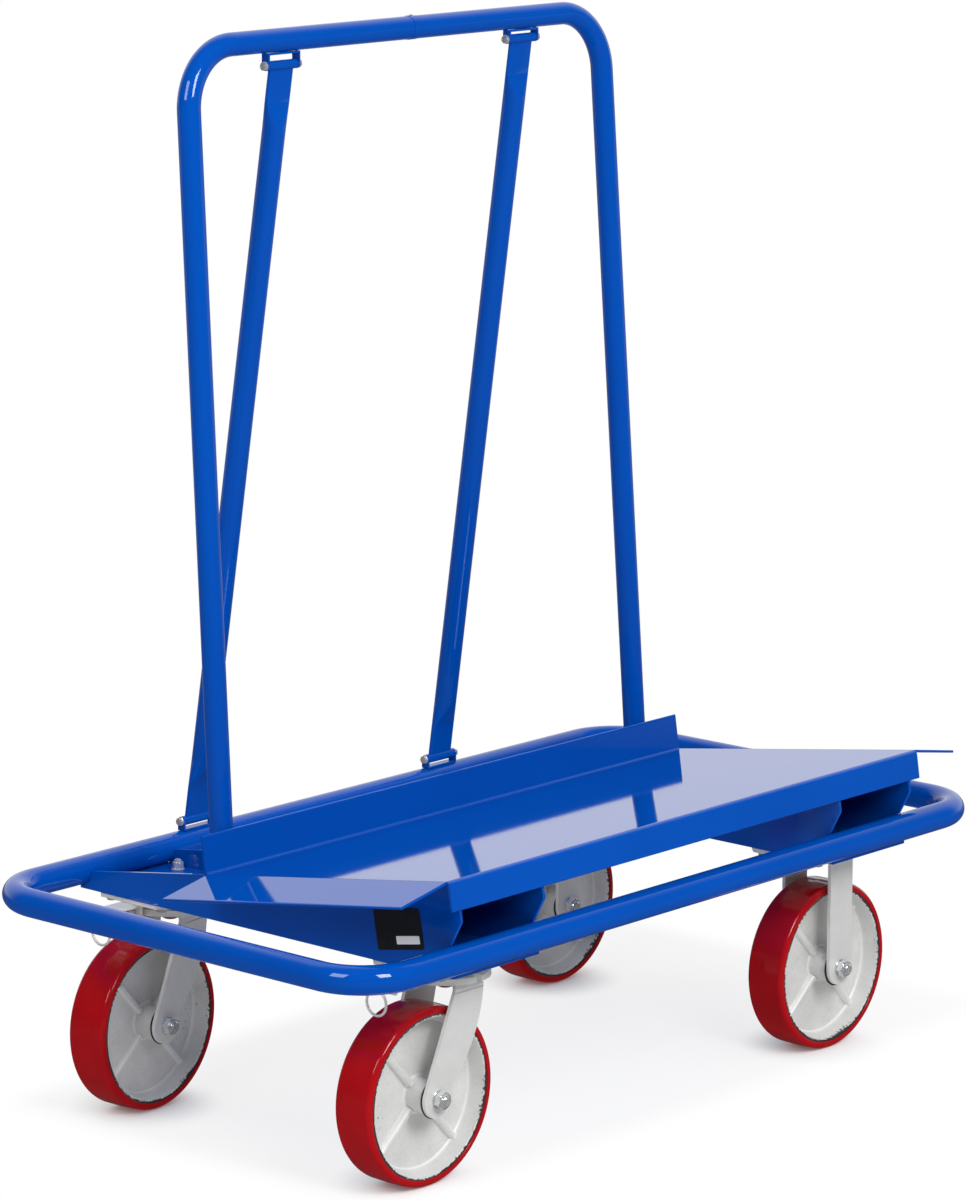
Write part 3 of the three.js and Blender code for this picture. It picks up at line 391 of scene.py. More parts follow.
# Upright
# Two J-shaped steel tubes that lean back and meet in the top bar, where a spigot inside them and
# a dome-headed screw hold the joint. The feet are welded to the channel floors. Same coat.
BAR_HEIGHT = 1.1985
UPRIGHT_TUBE = 0.0265
UPRIGHT_BEND = 0.070
UPRIGHT_LEAN = np.radians(3.66)
UPRIGHT_Y = 0.0934
LEG_FOOT_X = 0.3584
LEG_TOP_X = 0.346
SEAM_X = 0.009
SEAM_GAP = 0.0003
SEAM_BAND = 0.012
SEAM_BAND_RISE = 0.0005
SEAM_BAND_SINK = 0.0004
SEAM_BAND_ROUND = (0.0003, 0.0004)
SCREW_HEAD = 0.0088
SCREW_DOME = 0.0037
SCREW_SHANK = 0.004
SCREW_SINK = 0.0016
ZINC_DULL = (0.645, 0.645, 0.633)
ZINC_PALE = (0.87, 0.87, 0.855)
BRIGHT_DULL = (0.66, 0.67, 0.67)
BRIGHT_PALE = (0.88, 0.89, 0.90)
ZINC_CLOUD = 45.0
ZINC_GRAIN = 900.0
BRIGHT_CLOUD = 140.0
BRIGHT_GRAIN = 700.0
GRAIN_DEPTH = 0.0003

zinc, place = new_finish("satin_zinc", {})
cloud = noise(place, ZINC_CLOUD, 3.0)
grain = noise(place, ZINC_GRAIN, 1.0)
feed(
    zinc,
    {
        "Base Color": tint(0.7 * cloud + 0.3 * grain, ZINC_DULL, ZINC_PALE),
        "Metallic": 0.28 + 0.15 * cloud,
        "Roughness": 0.34 + 0.18 * cloud,
        "Normal": bump(grain, 0.08, GRAIN_DEPTH),
    },
)
bright_zinc, place = new_finish("bright_zinc", {})
cloud = noise(place, BRIGHT_CLOUD, 2.0)
feed(
    bright_zinc,
    {
        "Base Color": tint(cloud, BRIGHT_DULL, BRIGHT_PALE),
        "Metallic": 0.58 + 0.3 * cloud,
        "Roughness": 0.12 + 0.10 * cloud,
        "Normal": bump(noise(place, BRIGHT_GRAIN, 1.0), 0.05, GRAIN_DEPTH),
    },
)


def revolved(profile, axis, sides=48):
    """A profile of (radius, height) turned about one axis: height on that axis, radius cos a and
    radius sin a on the other two."""
    radius, height = np.asarray(profile, dtype=float).T[..., None]
    a = np.linspace(0, 2 * np.pi, sides, endpoint=False)
    parts = [radius * np.cos(a), radius * np.sin(a)]
    parts.insert(axis, np.broadcast_to(height, parts[0].shape))
    return np.stack(parts, axis=-1)


def hexagon(flats, height, axis, turn=0.0, sides=72):
    """A hexagon bar with turned ends: radius = the smaller of flats / 2 / cos(angle to the nearest
    flat) and the chamfer's radius at that height."""
    tall = height * np.array([0.0, 0.0, 0.06, 0.84, 0.88, 0.92, 0.96, 1.0, 1.0])
    reach = flats * np.array([0.0, 0.54, 0.58, 0.58, 0.57, 0.55, 0.525, 0.49, 0.0])
    a = np.linspace(0, 2 * np.pi, sides, endpoint=False)
    to_flat = (a + np.pi / 6) % (np.pi / 3) - np.pi / 6
    radius = np.minimum(flats / 2 / np.cos(to_flat), reach[:, None])
    parts = [radius * np.cos(a + turn), radius * np.sin(a + turn)]
    parts.insert(axis, np.broadcast_to(tall[:, None], radius.shape))
    return np.stack(parts, axis=-1)


def rod(radius, start, end, axis, round_end=0.0):
    """A round bar between two places on an axis, with chamfered ends."""
    profile = [
        (0.0, start),
        (radius - round_end, start),
        (radius, start + round_end),
        (radius, end - round_end),
        (radius - round_end, end),
        (0.0, end),
    ]
    return revolved(profile, axis, sides=32)


channel_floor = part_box("left_channel")[0].z + CHANNEL_SHEET
bar_y = UPRIGHT_Y + (BAR_HEIGHT - ring_z) * np.tan(UPRIGHT_LEAN)
foot_z = channel_floor + UPRIGHT_TUBE / 2 * np.tan(UPRIGHT_LEAN)
foot_y = UPRIGHT_Y + (foot_z - ring_z) * np.tan(UPRIGHT_LEAN)
for name, side in (("left", -1), ("right", 1)):
    leg_foot = np.array([side * LEG_FOOT_X, foot_y, foot_z])
    shoulder = np.array([side * LEG_TOP_X, bar_y, BAR_HEIGHT])
    seam = np.array([SEAM_X + side * SEAM_GAP, bar_y, BAR_HEIGHT])
    normal = unit(np.cross(shoulder - leg_foot, seam - shoulder))
    run = bent_run([leg_foot, shoulder, seam], UPRIGHT_BEND, steps=24)
    make_piece(
        f"upright_tube_{name}",
        [skin(round_tube(*run, normal, UPRIGHT_TUBE / 2))],
        blue_coat,
        "frame",
        [f"upright_{name}"],
    )
band_half = SEAM_BAND / 2
band_radius = UPRIGHT_TUBE / 2 + SEAM_BAND_RISE
band_inner = UPRIGHT_TUBE / 2 - SEAM_BAND_SINK
round_in, round_along = SEAM_BAND_ROUND
band_profile = [
    (band_inner, -band_half),
    (band_radius - round_in, -band_half),
    (band_radius, -band_half + round_along),
    (band_radius, band_half - round_along),
    (band_radius - round_in, band_half),
    (band_inner, band_half),
]
band_centre = np.array([SEAM_X + band_half, bar_y, BAR_HEIGHT])
make_piece(
    "upright_seam_band",
    [skin(band_centre + revolved(band_profile, 0), closed_rows=True)],
    blue_coat,
    "frame",
)
screw_place = middle("upright_bolt")
bar_top = BAR_HEIGHT + UPRIGHT_TUBE / 2
screw_seat = np.array([screw_place[0], screw_place[1], bar_top - SCREW_SINK])
dome_t = np.linspace(0, np.pi / 2, 10)
dome = np.stack([SCREW_HEAD / 2 * np.cos(dome_t), SCREW_DOME * np.sin(dome_t)], axis=1)
screw_profile = [(0.0, -SCREW_SHANK), (SCREW_HEAD / 2, -SCREW_SHANK), *dome]
make_piece(
    "upright_joint_screw",
    [skin(screw_seat + revolved(screw_profile, 2), capped=False)],
    bright_zinc,
    "frame",
    ["upright_bolt"],
)


def dress(node, material):
    """Gives a CAD node that stays in view its finish."""
    frame["nodes"][node].data.materials.clear()
    frame["nodes"][node].data.materials.append(material)


dress("upright_spigot", zinc)

# Braces
# Two steel tubes with flattened ends and a short cross tube welded to each, bolted in U brackets
# of bent strip with round ears. The brackets are welded to the top bar and the ring's back tube.
BRACE_TUBE = 0.0265
BRACE_FLAT_WIDTH = 0.038
BRACE_FLAT_THICKNESS = 0.005
BRACE_FLAT_LENGTH = 0.034
BRACE_TAPER = 0.042
BRACE_SIDES = 44
BRACE_EYE_TUBE = 0.011
BRACE_EYE_PLAY = 0.0003
BRACE_EYE_CHAMFER = 0.0006
BRACKET_SPAN = 0.046
BRACKET_SHEET = 0.0025
BRACKET_WIDTH = 0.011
BRACKET_EDGE = 0.0005
EYE_BOLT = 0.006
EYE_HEAD_FLATS = 0.0086
EYE_HEAD = 0.0040
EYE_HEAD_TURN = 0.3
EYE_NUT_FLATS = 0.0088
EYE_NUT = 0.0036
EYE_NUT_TURN = 0.8
EYE_TIP = 0.0048
EYE_WASHER = 0.0052
EYE_WASHER_SHEET = 0.0010
EYE_WASHER_CHAMFER = 0.0002


def brace_tube(low_eye, high_eye):
    """A tube pinched flat at both ends: across = R cos a in the run and
    T cos a + sign(cos a) S at the eyes, eased from one to the other along the taper."""
    length = np.linalg.norm(high_eye - low_eye)
    along = unit(high_eye - low_eye)
    through = unit(np.cross(along, RIGHT))
    ease = np.linspace(0, 1, 14)
    end = np.concatenate([[0.0], BRACE_FLAT_LENGTH + BRACE_TAPER * ease])
    place = np.concatenate([end, (length - end)[::-1]])
    flatness = np.concatenate([[1.0], 1 - ease**2 * (3 - 2 * ease)])
    flatness = np.concatenate([flatness, flatness[::-1]])[:, None]
    a = 2 * np.pi * (np.arange(BRACE_SIDES) + 0.5) / BRACE_SIDES
    straight = (BRACE_FLAT_WIDTH - BRACE_FLAT_THICKNESS) / 2
    flat_across = BRACE_FLAT_THICKNESS / 2 * np.cos(a) + straight * np.sign(np.cos(a))
    flat_through = BRACE_FLAT_THICKNESS / 2 * np.sin(a)
    x = (1 - flatness) * BRACE_TUBE / 2 * np.cos(a) + flatness * flat_across
    y = (1 - flatness) * BRACE_TUBE / 2 * np.sin(a) + flatness * flat_through
    centres = low_eye + place[:, None] * along
    return centres[:, None] + x[..., None] * RIGHT + y[..., None] * through


BACK = np.array([0.0, 1.0, 0.0])
inner_ear = BRACKET_SPAN / 2
outer_ear = inner_ear + BRACKET_SHEET
cross_half = inner_ear - BRACE_EYE_PLAY
cross_tube = rod(BRACE_EYE_TUBE / 2, -cross_half, cross_half, 0, BRACE_EYE_CHAMFER)


def u_bracket(eye, base_z):
    """Bent strip: a base on the tube and two ears, straight sides closed by a half circle."""
    half = BRACKET_WIDTH / 2
    reach = base_z - eye[2]
    t = np.linspace(0, np.pi, 20)
    round_end = np.stack([half * np.cos(t), -np.sign(reach) * half * np.sin(t)], axis=1)
    ear = np.vstack([[(half, reach)], round_end, [(-half, reach)]])
    base = np.array([(half, 0), (half, 1), (-half, 1), (-half, 0)]) * (1, BRACKET_SHEET)
    base = base * (1, -np.sign(reach)) + (0, reach)
    parts = [(ear, (-outer_ear, -inner_ear)), (ear, (inner_ear, outer_ear))]
    parts.append((base, (-inner_ear, inner_ear)))
    return [skin(carried(section, ends, eye, BACK, UP, RIGHT)) for section, ends in parts]


def eye_bolt(eye):
    """Bolt along X: washer and hexagon head on the left ear, nut and bolt end on the right one."""
    washer = rod(EYE_WASHER, 0.0, EYE_WASHER_SHEET, 0, EYE_WASHER_CHAMFER)
    head = hexagon(EYE_HEAD_FLATS, EYE_HEAD, 0, EYE_HEAD_TURN)
    nut = hexagon(EYE_NUT_FLATS, EYE_NUT, 0, EYE_NUT_TURN)
    tip = rod(EYE_BOLT / 2, 0.0, EYE_TIP, 0, BRACE_EYE_CHAMFER)
    shank = rod(EYE_BOLT / 2, -outer_ear, outer_ear, 0)
    flip = np.array([-1.0, 1.0, 1.0])
    near = eye - RIGHT * outer_ear
    far = eye + RIGHT * outer_ear
    grids = [near + flip * washer, near + flip * head, far + washer, far + nut, far + tip]
    return [skin(grid, capped=False) for grid in (*grids, eye + shank)]


for side in ("left", "right"):
    eyes = {}
    for end in ("foot", "top"):
        bracket_x = middle(f"brace_{end}_bracket_{side}")[0]
        eyes[end] = np.array([bracket_x, *middle(f"brace_{end}_bolt_{side}")[1:]])
    make_piece(
        f"brace_tube_{side}",
        [
            skin(brace_tube(eyes["foot"], eyes["top"])),
            skin(eyes["foot"] + cross_tube, capped=False),
            skin(eyes["top"] + cross_tube, capped=False),
        ],
        blue_coat,
        "frame",
        [f"brace_{side}"],
    )
    tube_faces = {"foot": ring_z + RING_TUBE / 2, "top": BAR_HEIGHT - UPRIGHT_TUBE / 2}
    for end, base_z in tube_faces.items():
        make_piece(
            f"brace_{end}_ears_{side}",
            u_bracket(eyes[end], base_z),
            blue_coat,
            "frame",
            [f"brace_{end}_bracket_{side}"],
            BRACKET_EDGE,
        )
        make_piece(
            f"brace_{end}_eye_bolt_{side}",
            eye_bolt(eyes[end]),
            bright_zinc,
            "frame",
            [f"brace_{end}_bolt_{side}"],
        )

# Caster plates and forks
# Pressed from thick steel and zinc plated. A rigid fork is welded to its plate. A swivel fork turns
# on balls under its plate and carries a lock ring with four notches. Bolted under the channels.
PLATE_LENGTH = 0.135
PLATE_WIDTH = 0.110
PLATE_SHEET = 0.005
PLATE_CLIP = 0.012
PLATE_EDGE = 0.0007
PLATE_HOLES_X = 0.105
PLATE_HOLES_Y = 0.080
PLATE_TOP = 0.244
PLATE_LOW = PLATE_TOP - PLATE_SHEET
TRAIL = 0.050
AXLE_Z = 0.100
FORK_SHEET = 0.0045
FORK_INNER = 0.0315
FORK_BEND = 0.012
FORK_EYE = 0.0215
FORK_CROWN_FRONT = 0.0225
FORK_CROWN_BACK = 0.0185
FORK_CROWN_TOP = 0.224
FORK_BACK_ANGLE = np.radians(153)
FORK_FRONT_ANGLE = np.radians(20)
FORK_EYE_SWEEP = np.radians(112)
RIGID_LEG = 0.0415
RIGID_CROWN_SINK = 0.0005
RACE_DEPTH = 0.005
RACE_RADIUS = 0.043
RACE_ROUND = 0.0022
RACE_LIP = (0.0006, 0.0016)
RACE_FOOT = (0.002, 0.0004)
BALL_CIRCLE = 0.034
WELD_SINK = 0.001
LOCK_RING_RADIUS = 0.050
LOCK_RING_TOP = 0.230
NOTCH_DEPTH = 0.0085
NOTCH_HALF = 0.0044
KINGPIN_NUT = 0.013
KINGPIN_SHANK = 0.007
KINGPIN_GAP = 0.0003
KINGPIN_DOME = ((0.5, 0.0004), (0.72, 0.0018), (0.90, 0.0042), (1.0, 0.0068))
STEEL_DARK = (0.16, 0.165, 0.17)
STEEL_PALE = (0.34, 0.35, 0.36)
STEEL_SMEAR = 120.0
STEEL_GRAIN = 800.0

steel, place = new_finish("bearing_steel", {})
smear = noise(place, STEEL_SMEAR, 3.0)
feed(
    steel,
    {
        "Base Color": tint(smear, STEEL_DARK, STEEL_PALE),
        "Metallic": 0.8 + 0.15 * smear,
        "Roughness": 0.25 + 0.25 * smear,
        "Normal": bump(noise(place, STEEL_GRAIN, 1.0), 0.06, GRAIN_DEPTH),
    },
)
joints = {joint["name"]: joint for joint in frame["joints"]}
corners = ("front_left", "back_left", "front_right", "back_right")
axles = {c: np.array(joints[f"{c}_wheel_spin"]["axis"], dtype=float) for c in corners}
wheel_centres = {c: np.array(joints[f"{c}_wheel_spin"]["pos_m"], dtype=float) for c in corners}
swivels = {c: np.array(joints[f"{c}_swivel_turn"]["pos_m"], dtype=float) for c in corners[:2]}


def in_caster(grid, origin, axle):
    """Caster places (forward, along the axle, up) in the cart, with forward = axle x up."""
    forward = np.cross(axle, UP)
    return origin + grid[..., :1] * forward + grid[..., 1:2] * axle + grid[..., 2:] * UP


def fork_sheet(leg_z, crown_top, low_x, high_x):
    """Thick sheet carried up one leg, over the crown and down the other. At each station its
    section runs from x = low(z) to x = high(z), half a thickness to either side of the U."""
    mid = FORK_INNER + FORK_SHEET / 2
    crown = crown_top - FORK_SHEET / 2
    bend = FORK_BEND - FORK_SHEET / 2
    arch = [(-mid, leg_z[0]), (-mid, crown), (mid, crown), (mid, leg_z[0])]
    points, headings = bent_run(arch, bend, steps=10)
    leg = np.stack([np.full_like(leg_z, -mid), leg_z], axis=1)
    rising = np.tile([0.0, 1.0], (len(leg_z), 1))
    points = np.vstack([leg, points[1:-1], (leg * (-1, 1))[::-1]])
    headings = np.vstack([rising, headings[1:-1], -rising])
    aside = np.stack([-headings[:, 1], headings[:, 0]], axis=1) * FORK_SHEET / 2
    low, high = low_x(points[:, 1]), high_x(points[:, 1])
    out, into = points + aside, points - aside
    section = [(low, out), (high, out), (high, into), (low, into)]
    return np.stack([np.column_stack([x, side]) for x, side in section], axis=1)


def round_leg_z(radius, sweep, top):
    """Heights of the stations on a leg: even angles round its eye, then straight steps up."""
    round_part = AXLE_Z - radius * np.cos(np.linspace(0, sweep, 15))
    return np.concatenate([round_part, np.linspace(round_part[-1], top, 8)[1:]])


def eye_half(z, radius):
    """Half the width of the eye's circle at a height: sqrt(radius^2 - (z - axle)^2)."""
    return np.sqrt(np.clip(radius**2 - (z - AXLE_Z) ** 2, 0, None))


def on_eye(angle):
    """Forward place and height of a point on the swivel fork's eye, from its angle."""
    return -TRAIL + FORK_EYE * np.cos(angle), AXLE_Z + FORK_EYE * np.sin(angle)


def swept(start, control, end):
    """A quadratic curve: (1 - t)^2 start + 2 t (1 - t) control + t^2 end."""
    t = np.linspace(0, 1, 60)
    return (1 - t) ** 2 * start + 2 * t * (1 - t) * control + t**2 * end


back_tangent = on_eye(FORK_BACK_ANGLE)
front_tangent = on_eye(FORK_FRONT_ANGLE)
front_x = swept(front_tangent[0], FORK_CROWN_FRONT, FORK_CROWN_FRONT)
front_z = swept(front_tangent[1], (FORK_CROWN_TOP + AXLE_Z) / 2, FORK_CROWN_TOP)


def swivel_low_x(z):
    """Trailing edge: the eye's circle, then a straight line to the crown."""
    line_z, line_x = (back_tangent[1], FORK_CROWN_TOP), (back_tangent[0], -FORK_CROWN_BACK)
    return np.where(z < line_z[0], -TRAIL - eye_half(z, FORK_EYE), np.interp(z, line_z, line_x))


def swivel_high_x(z):
    """Leading edge: the eye's circle, then a curve that swells out to the crown."""
    swell = np.interp(z, front_z, front_x)
    return np.where(z < front_tangent[1], -TRAIL + eye_half(z, FORK_EYE), swell)


def rigid_high_x(z):
    """Front edge: the eye's circle up to the axle, then straight up."""
    half = RIGID_LEG / 2
    return np.where(z < AXLE_Z, eye_half(z, half), half)


def rigid_low_x(z):
    """Back edge, the front edge mirrored."""
    return -rigid_high_x(z)


def plate_outline():
    """A rectangle with its four corners cut off."""
    half_x, half_y, clip = PLATE_LENGTH / 2, PLATE_WIDTH / 2, PLATE_CLIP
    quarter = np.array([(half_x, half_y - clip), (half_x - clip, half_y)])
    turns = [(1, 1, 1), (-1, 1, -1), (-1, -1, 1), (1, -1, -1)]
    return np.vstack([quarter[::order] * (sx, sy) for sx, sy, order in turns])


def lock_ring_outline(yaw):
    """A circle cut by four square notches that keep in line with the lock pin."""
    half_angle = np.arcsin(NOTCH_HALF / LOCK_RING_RADIUS)
    t = np.linspace(half_angle, np.pi / 2 - half_angle, 16)
    rim = LOCK_RING_RADIUS * np.stack([np.cos(t), np.sin(t)], axis=1)
    root = LOCK_RING_RADIUS - NOTCH_DEPTH
    notch = np.array([(root, -NOTCH_HALF), (root, NOTCH_HALF)])
    quarter = np.vstack([notch, rim])
    turned = []
    for turn in np.arange(4) * np.pi / 2 - yaw:
        turned.append(quarter @ np.array([(np.cos(turn), np.sin(turn)), (-np.sin(turn), np.cos(turn))]))
    return np.vstack(turned)


plate_grid = carried(plate_outline(), (PLATE_LOW, PLATE_TOP), 0.0, RIGHT, BACK, UP)
race_low = PLATE_LOW - RACE_DEPTH
race_flat = RACE_RADIUS - RACE_DEPTH
race = [
    (0.0, PLATE_LOW + WELD_SINK),
    (RACE_RADIUS, PLATE_LOW + WELD_SINK),
    (RACE_RADIUS - RACE_LIP[0], PLATE_LOW - RACE_LIP[1]),
    (RACE_RADIUS - RACE_ROUND, race_low + RACE_ROUND),
    (race_flat, race_low + RACE_FOOT[1]),
    (race_flat - RACE_FOOT[0], race_low),
    (0.0, race_low),
]
lock_ring_ends = (FORK_CROWN_TOP - WELD_SINK, LOCK_RING_TOP)
rigid_z = round_leg_z(RIGID_LEG / 2, np.pi / 2, PLATE_TOP - FORK_BEND - WELD_SINK)
swivel_z = round_leg_z(FORK_EYE, FORK_EYE_SWEEP, FORK_CROWN_TOP - FORK_BEND)
for c in corners:
    floor_spot = wheel_centres[c] * (1, 1, 0)
    if c in swivels:
        floor_spot = swivels[c] * (1, 1, 0)
        yaw = np.arctan2(-axles[c][0], axles[c][1])
        grid = fork_sheet(swivel_z, FORK_CROWN_TOP, swivel_low_x, swivel_high_x)
        ring = carried(lock_ring_outline(yaw), lock_ring_ends, 0.0, RIGHT, BACK, UP)
        make_piece(
            f"{c}_swivel_fork_sheet",
            [
                skin(in_caster(grid, floor_spot, axles[c]), capped=False),
                skin(in_caster(ring, floor_spot, axles[c])),
            ],
            zinc,
            f"{c}_swivel",
            [f"{c}_swivel_fork"],
            PLATE_EDGE,
        )
        make_piece(
            f"{c}_top_plate",
            [skin(floor_spot + plate_grid), skin(floor_spot + revolved(race, 2, 96), capped=False)],
            zinc,
            "frame",
            [f"{c}_swivel_plate"],
            PLATE_EDGE,
        )
        ball_t = np.linspace(0, 2 * np.pi, 12, endpoint=False)
        ball_low, ball_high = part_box(f"{c}_ball_ring")
        ball_half = (ball_high.z - ball_low.z) / 2
        ball_middle = (ball_high.z + ball_low.z) / 2
        ball_round = np.stack(
            [BALL_CIRCLE + ball_half * np.cos(ball_t), ball_middle + ball_half * np.sin(ball_t)],
            axis=1,
        )
        make_piece(
            f"{c}_balls",
            [skin(floor_spot + revolved(ball_round, 2, 72), closed_rows=True)],
            steel,
            "frame",
            [f"{c}_ball_ring"],
        )
        nut_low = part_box(f"{c}_kingpin")[0].z
        nut_high = FORK_CROWN_TOP - FORK_SHEET - KINGPIN_GAP
        kingpin = [
            (0.0, nut_low),
            *[(share * KINGPIN_NUT, nut_low + rise) for share, rise in KINGPIN_DOME],
            (KINGPIN_NUT, nut_high),
            (KINGPIN_SHANK, nut_high),
            (KINGPIN_SHANK, PLATE_TOP - KINGPIN_GAP),
            (0.0, PLATE_TOP - KINGPIN_GAP),
        ]
        make_piece(
            f"{c}_king_bolt",
            [skin(floor_spot + revolved(kingpin, 2), capped=False)],
            bright_zinc,
            "frame",
            [f"{c}_kingpin"],
        )
    else:
        grid = fork_sheet(rigid_z, PLATE_TOP - RIGID_CROWN_SINK, rigid_low_x, rigid_high_x)
        make_piece(
            f"{c}_rigid_fork_sheet",
            [
                skin(in_caster(grid, floor_spot, axles[c]), capped=False),
                skin(floor_spot + plate_grid),
            ],
            zinc,
            "frame",
            [f"{c}_rigid_fork"],
            PLATE_EDGE,
        )

# Direction locks
# A sprung steel pin in a bent bracket under each swivel plate, with a wire ring to pull it by.
# The spring pushes the pin into a notch of the lock ring. All zinc plated, the spring left dark.
LOCK_Z = 0.227
SPRING_WIRE = 0.0014
SPRING_COILS = 5
SPRING_DIAMETER = 0.012
SPRING_SHARP = 60.0
PULL_RING_DIAMETER = 0.028
PULL_RING_WIRE = 0.003
LOCK_EDGE = 0.0005


def coil(start, end, centre):
    """Round wire on a helix along X: centre line (start + lead a, R cos a, R sin a), with the wire
    turned about it in the plane of the outward and the cross direction."""
    a = np.linspace(0, 2 * np.pi * SPRING_COILS, 24 * SPRING_COILS + 1)
    lead = (end - start) / a[-1]
    radius = SPRING_DIAMETER / 2
    zero = np.zeros_like(a)
    outward = np.stack([zero, np.cos(a), np.sin(a)], axis=1)
    onward = np.stack([zero + lead, -radius * np.sin(a), radius * np.cos(a)], axis=1)
    onward /= np.linalg.norm(onward, axis=1)[:, None]
    cross = np.cross(onward, outward)
    line = centre + radius * outward + np.stack([start + lead * a, zero, zero], axis=1)
    t = np.linspace(0, 2 * np.pi, 10, endpoint=False)[:, None]
    return line[:, None] + SPRING_WIRE / 2 * (np.cos(t) * outward[:, None] + np.sin(t) * cross[:, None])


for c in swivels:
    turned_pieces = (
        (f"{c}_lock_bracket", zinc, "zinc_plate", "frame"),
        (f"{c}_lock_pin", bright_zinc, "bright_zinc", f"{c}_lock_pin"),
    )
    for node, finish, slot, body in turned_pieces:
        show(node + "_turned", sheet_copy(node), finish, body, [node], LOCK_EDGE)
    spring_low, spring_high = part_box(f"{c}_lock_spring")
    wire_half = SPRING_WIRE / 2
    spring_line = np.array([0.0, swivels[c][1], LOCK_Z])
    make_piece(
        f"{c}_lock_coil",
        [skin(coil(spring_low.x + wire_half, spring_high.x - wire_half, spring_line))],
        steel,
        "frame",
        [f"{c}_lock_spring"],
        sharp=SPRING_SHARP,
    )
    t = np.linspace(0, 2 * np.pi, 48, endpoint=False)
    zero = np.zeros_like(t)
    loop = middle(f"{c}_pull_ring")
    loop_points = loop + PULL_RING_DIAMETER / 2 * np.stack([zero, np.cos(t), np.sin(t)], axis=1)
    loop_heads = np.stack([zero, -np.sin(t), np.cos(t)], axis=1)
    make_piece(
        f"{c}_pull_loop",
        [skin(round_tube(loop_points, loop_heads, RIGHT, PULL_RING_WIRE / 2, 14), closed_rows=True)],
        zinc,
        f"{c}_pull_ring",
        [f"{c}_pull_ring"],
    )

# Wheels
# A cast core with four ribs on each face, left as cast but for a skim on the rim, and a red
# polyurethane tread moulded on it. Each turns on a steel bush over a sleeve on its axle bolt.
WHEEL_RADIUS = 0.100
TREAD_HALF = 0.025
TREAD_SEAT = 0.0915
TREAD_SHOULDER = 0.005
TREAD_CROWN = 0.0006
TREAD_CROWN_ROUND = 0.08
TREAD_INNER_ROUND = 0.0008
RIM_RADIUS = 0.0918
RIM_HALF = 0.024
RIM_LIP = 0.0880
FLASH_START = 0.0862
DISH_RADIUS = 0.0822
WEB_HALF = 0.004
HUB_RADIUS = 0.019
HUB_HALF = 0.030
HUB_BORE = 0.0113
HUB_DRAFT = 0.001
CORE_ROUNDS = (0, 0.0006, 0.0012, 0.003, 0.003, 0.001, 0.0004, 0)
CORE_STEP = 0.0024
CORE_STATIONS = 62
CORE_SHARP = 50.0
RIB_PHASE = np.radians(43)
RIB_HALF = 0.0034
RIB_TOP = 0.0095
RIB_ROOT_TOP = 0.0115
RIB_SIDE_SLOPE = 5.5
RIB_ROUND = 0.0007
CAST_DARK = (0.44, 0.438, 0.43)
CAST_PALE = (0.84, 0.837, 0.825)
# The pale edge colour paints highlight lines along the ribs' edges and the dish's rims.
CAST_EDGE_HIGHLIGHT = (0.88, 0.878, 0.865)
EDGE_HIGHLIGHT_HALF = 0.0008
CAST_SAND = 520.0
CAST_STAIN = 38.0
SAND_DEPTH = 0.0006
FLASH_DARK = (0.03, 0.028, 0.028)
FLASH_SPECK = 330.0
FLASH_PATCH = 16.0
FLASH_LIMITS = (0.72, 0.82)
SEAL_RADIUS = 0.0225
SEAL_END = 0.0312
SEAL_SINK = 0.0004
SEAL_CHAMFER = 0.0003
SEAL_SHADE_DARK = (0.006, 0.006, 0.006)
SEAL_SHADE_PALE = (0.02, 0.02, 0.02)
SEAL_DUST = 60.0
RED_DEEP = (0.29, 0.003, 0.006)
RED_BRIGHT = (0.41, 0.005, 0.009)
RED_IOR = 1.4
RED_SWIRL = 30.0
RED_RIPPLE = 120.0
RED_RIPPLE_DEPTH = 0.0005

red_tread, place = new_finish("red_polyurethane", {"IOR": RED_IOR})
swirl = noise(place, RED_SWIRL, 3.0)
feed(
    red_tread,
    {
        "Base Color": tint(swirl, RED_DEEP, RED_BRIGHT),
        "Roughness": 0.06 + 0.08 * swirl,
        "Normal": bump(noise(place, RED_RIPPLE, 2.0), 0.05, RED_RIPPLE_DEPTH),
    },
)
cast_core, place = new_finish("cast_core", {})
rim_share = place.node("ShaderNodeAttribute", {"attribute_name": "rim_share"}, {}, out="Fac")
edge_highlight_share = place.node("ShaderNodeAttribute", {"attribute_name": "edge_highlight_share"}, {}, out="Fac")
sand = noise(place, CAST_SAND, 3.0)
stain = noise(place, CAST_STAIN, 3.0)
patchy = 0.6 * noise(place, FLASH_SPECK, 4.0) + 0.5 * noise(place, FLASH_PATCH, 1.0)
flash = ramp(patchy + 0.5 * rim_share, *FLASH_LIMITS)
casting = tint(0.5 * stain + 0.5 * sand, CAST_DARK, CAST_PALE)
# Base colour: cast grey, paler in painted highlight lines along the rib edges and dish rims, dark in
# the flash at the rim.
feed(
    cast_core,
    {
        "Base Color": tint(flash, tint(0.7 * edge_highlight_share, casting, CAST_EDGE_HIGHLIGHT), FLASH_DARK),
        "Metallic": 0.14 - 0.1 * flash,
        "Roughness": 0.36 + 0.2 * sand,
        "Normal": bump(sand + flash, 0.22, SAND_DEPTH),
    },
)

# Near-black rubber for the hub seals, dark enough to paint the shade in the gap between each hub end
# and its fork leg.
painted_shade_seal, place = new_finish("painted_shade_seal", {})
dust = noise(place, SEAL_DUST, 3.0)
feed(
    painted_shade_seal,
    {
        "Base Color": tint(dust, SEAL_SHADE_DARK, SEAL_SHADE_PALE),
        "Roughness": 0.55 + 0.25 * dust,
    },
)


def divided(points, longest):
    """The same line with its long steps cut into equal short ones."""
    steps = np.ceil(np.linalg.norm(np.diff(points, axis=0), axis=1) / longest).astype(int)
    count = np.maximum(steps, 1)
    place = np.concatenate([np.arange(n) / n + i for i, n in enumerate(count)] + [[len(count)]])
    station = np.arange(len(points))
    return np.stack([np.interp(place, station, column) for column in points.T], axis=1)


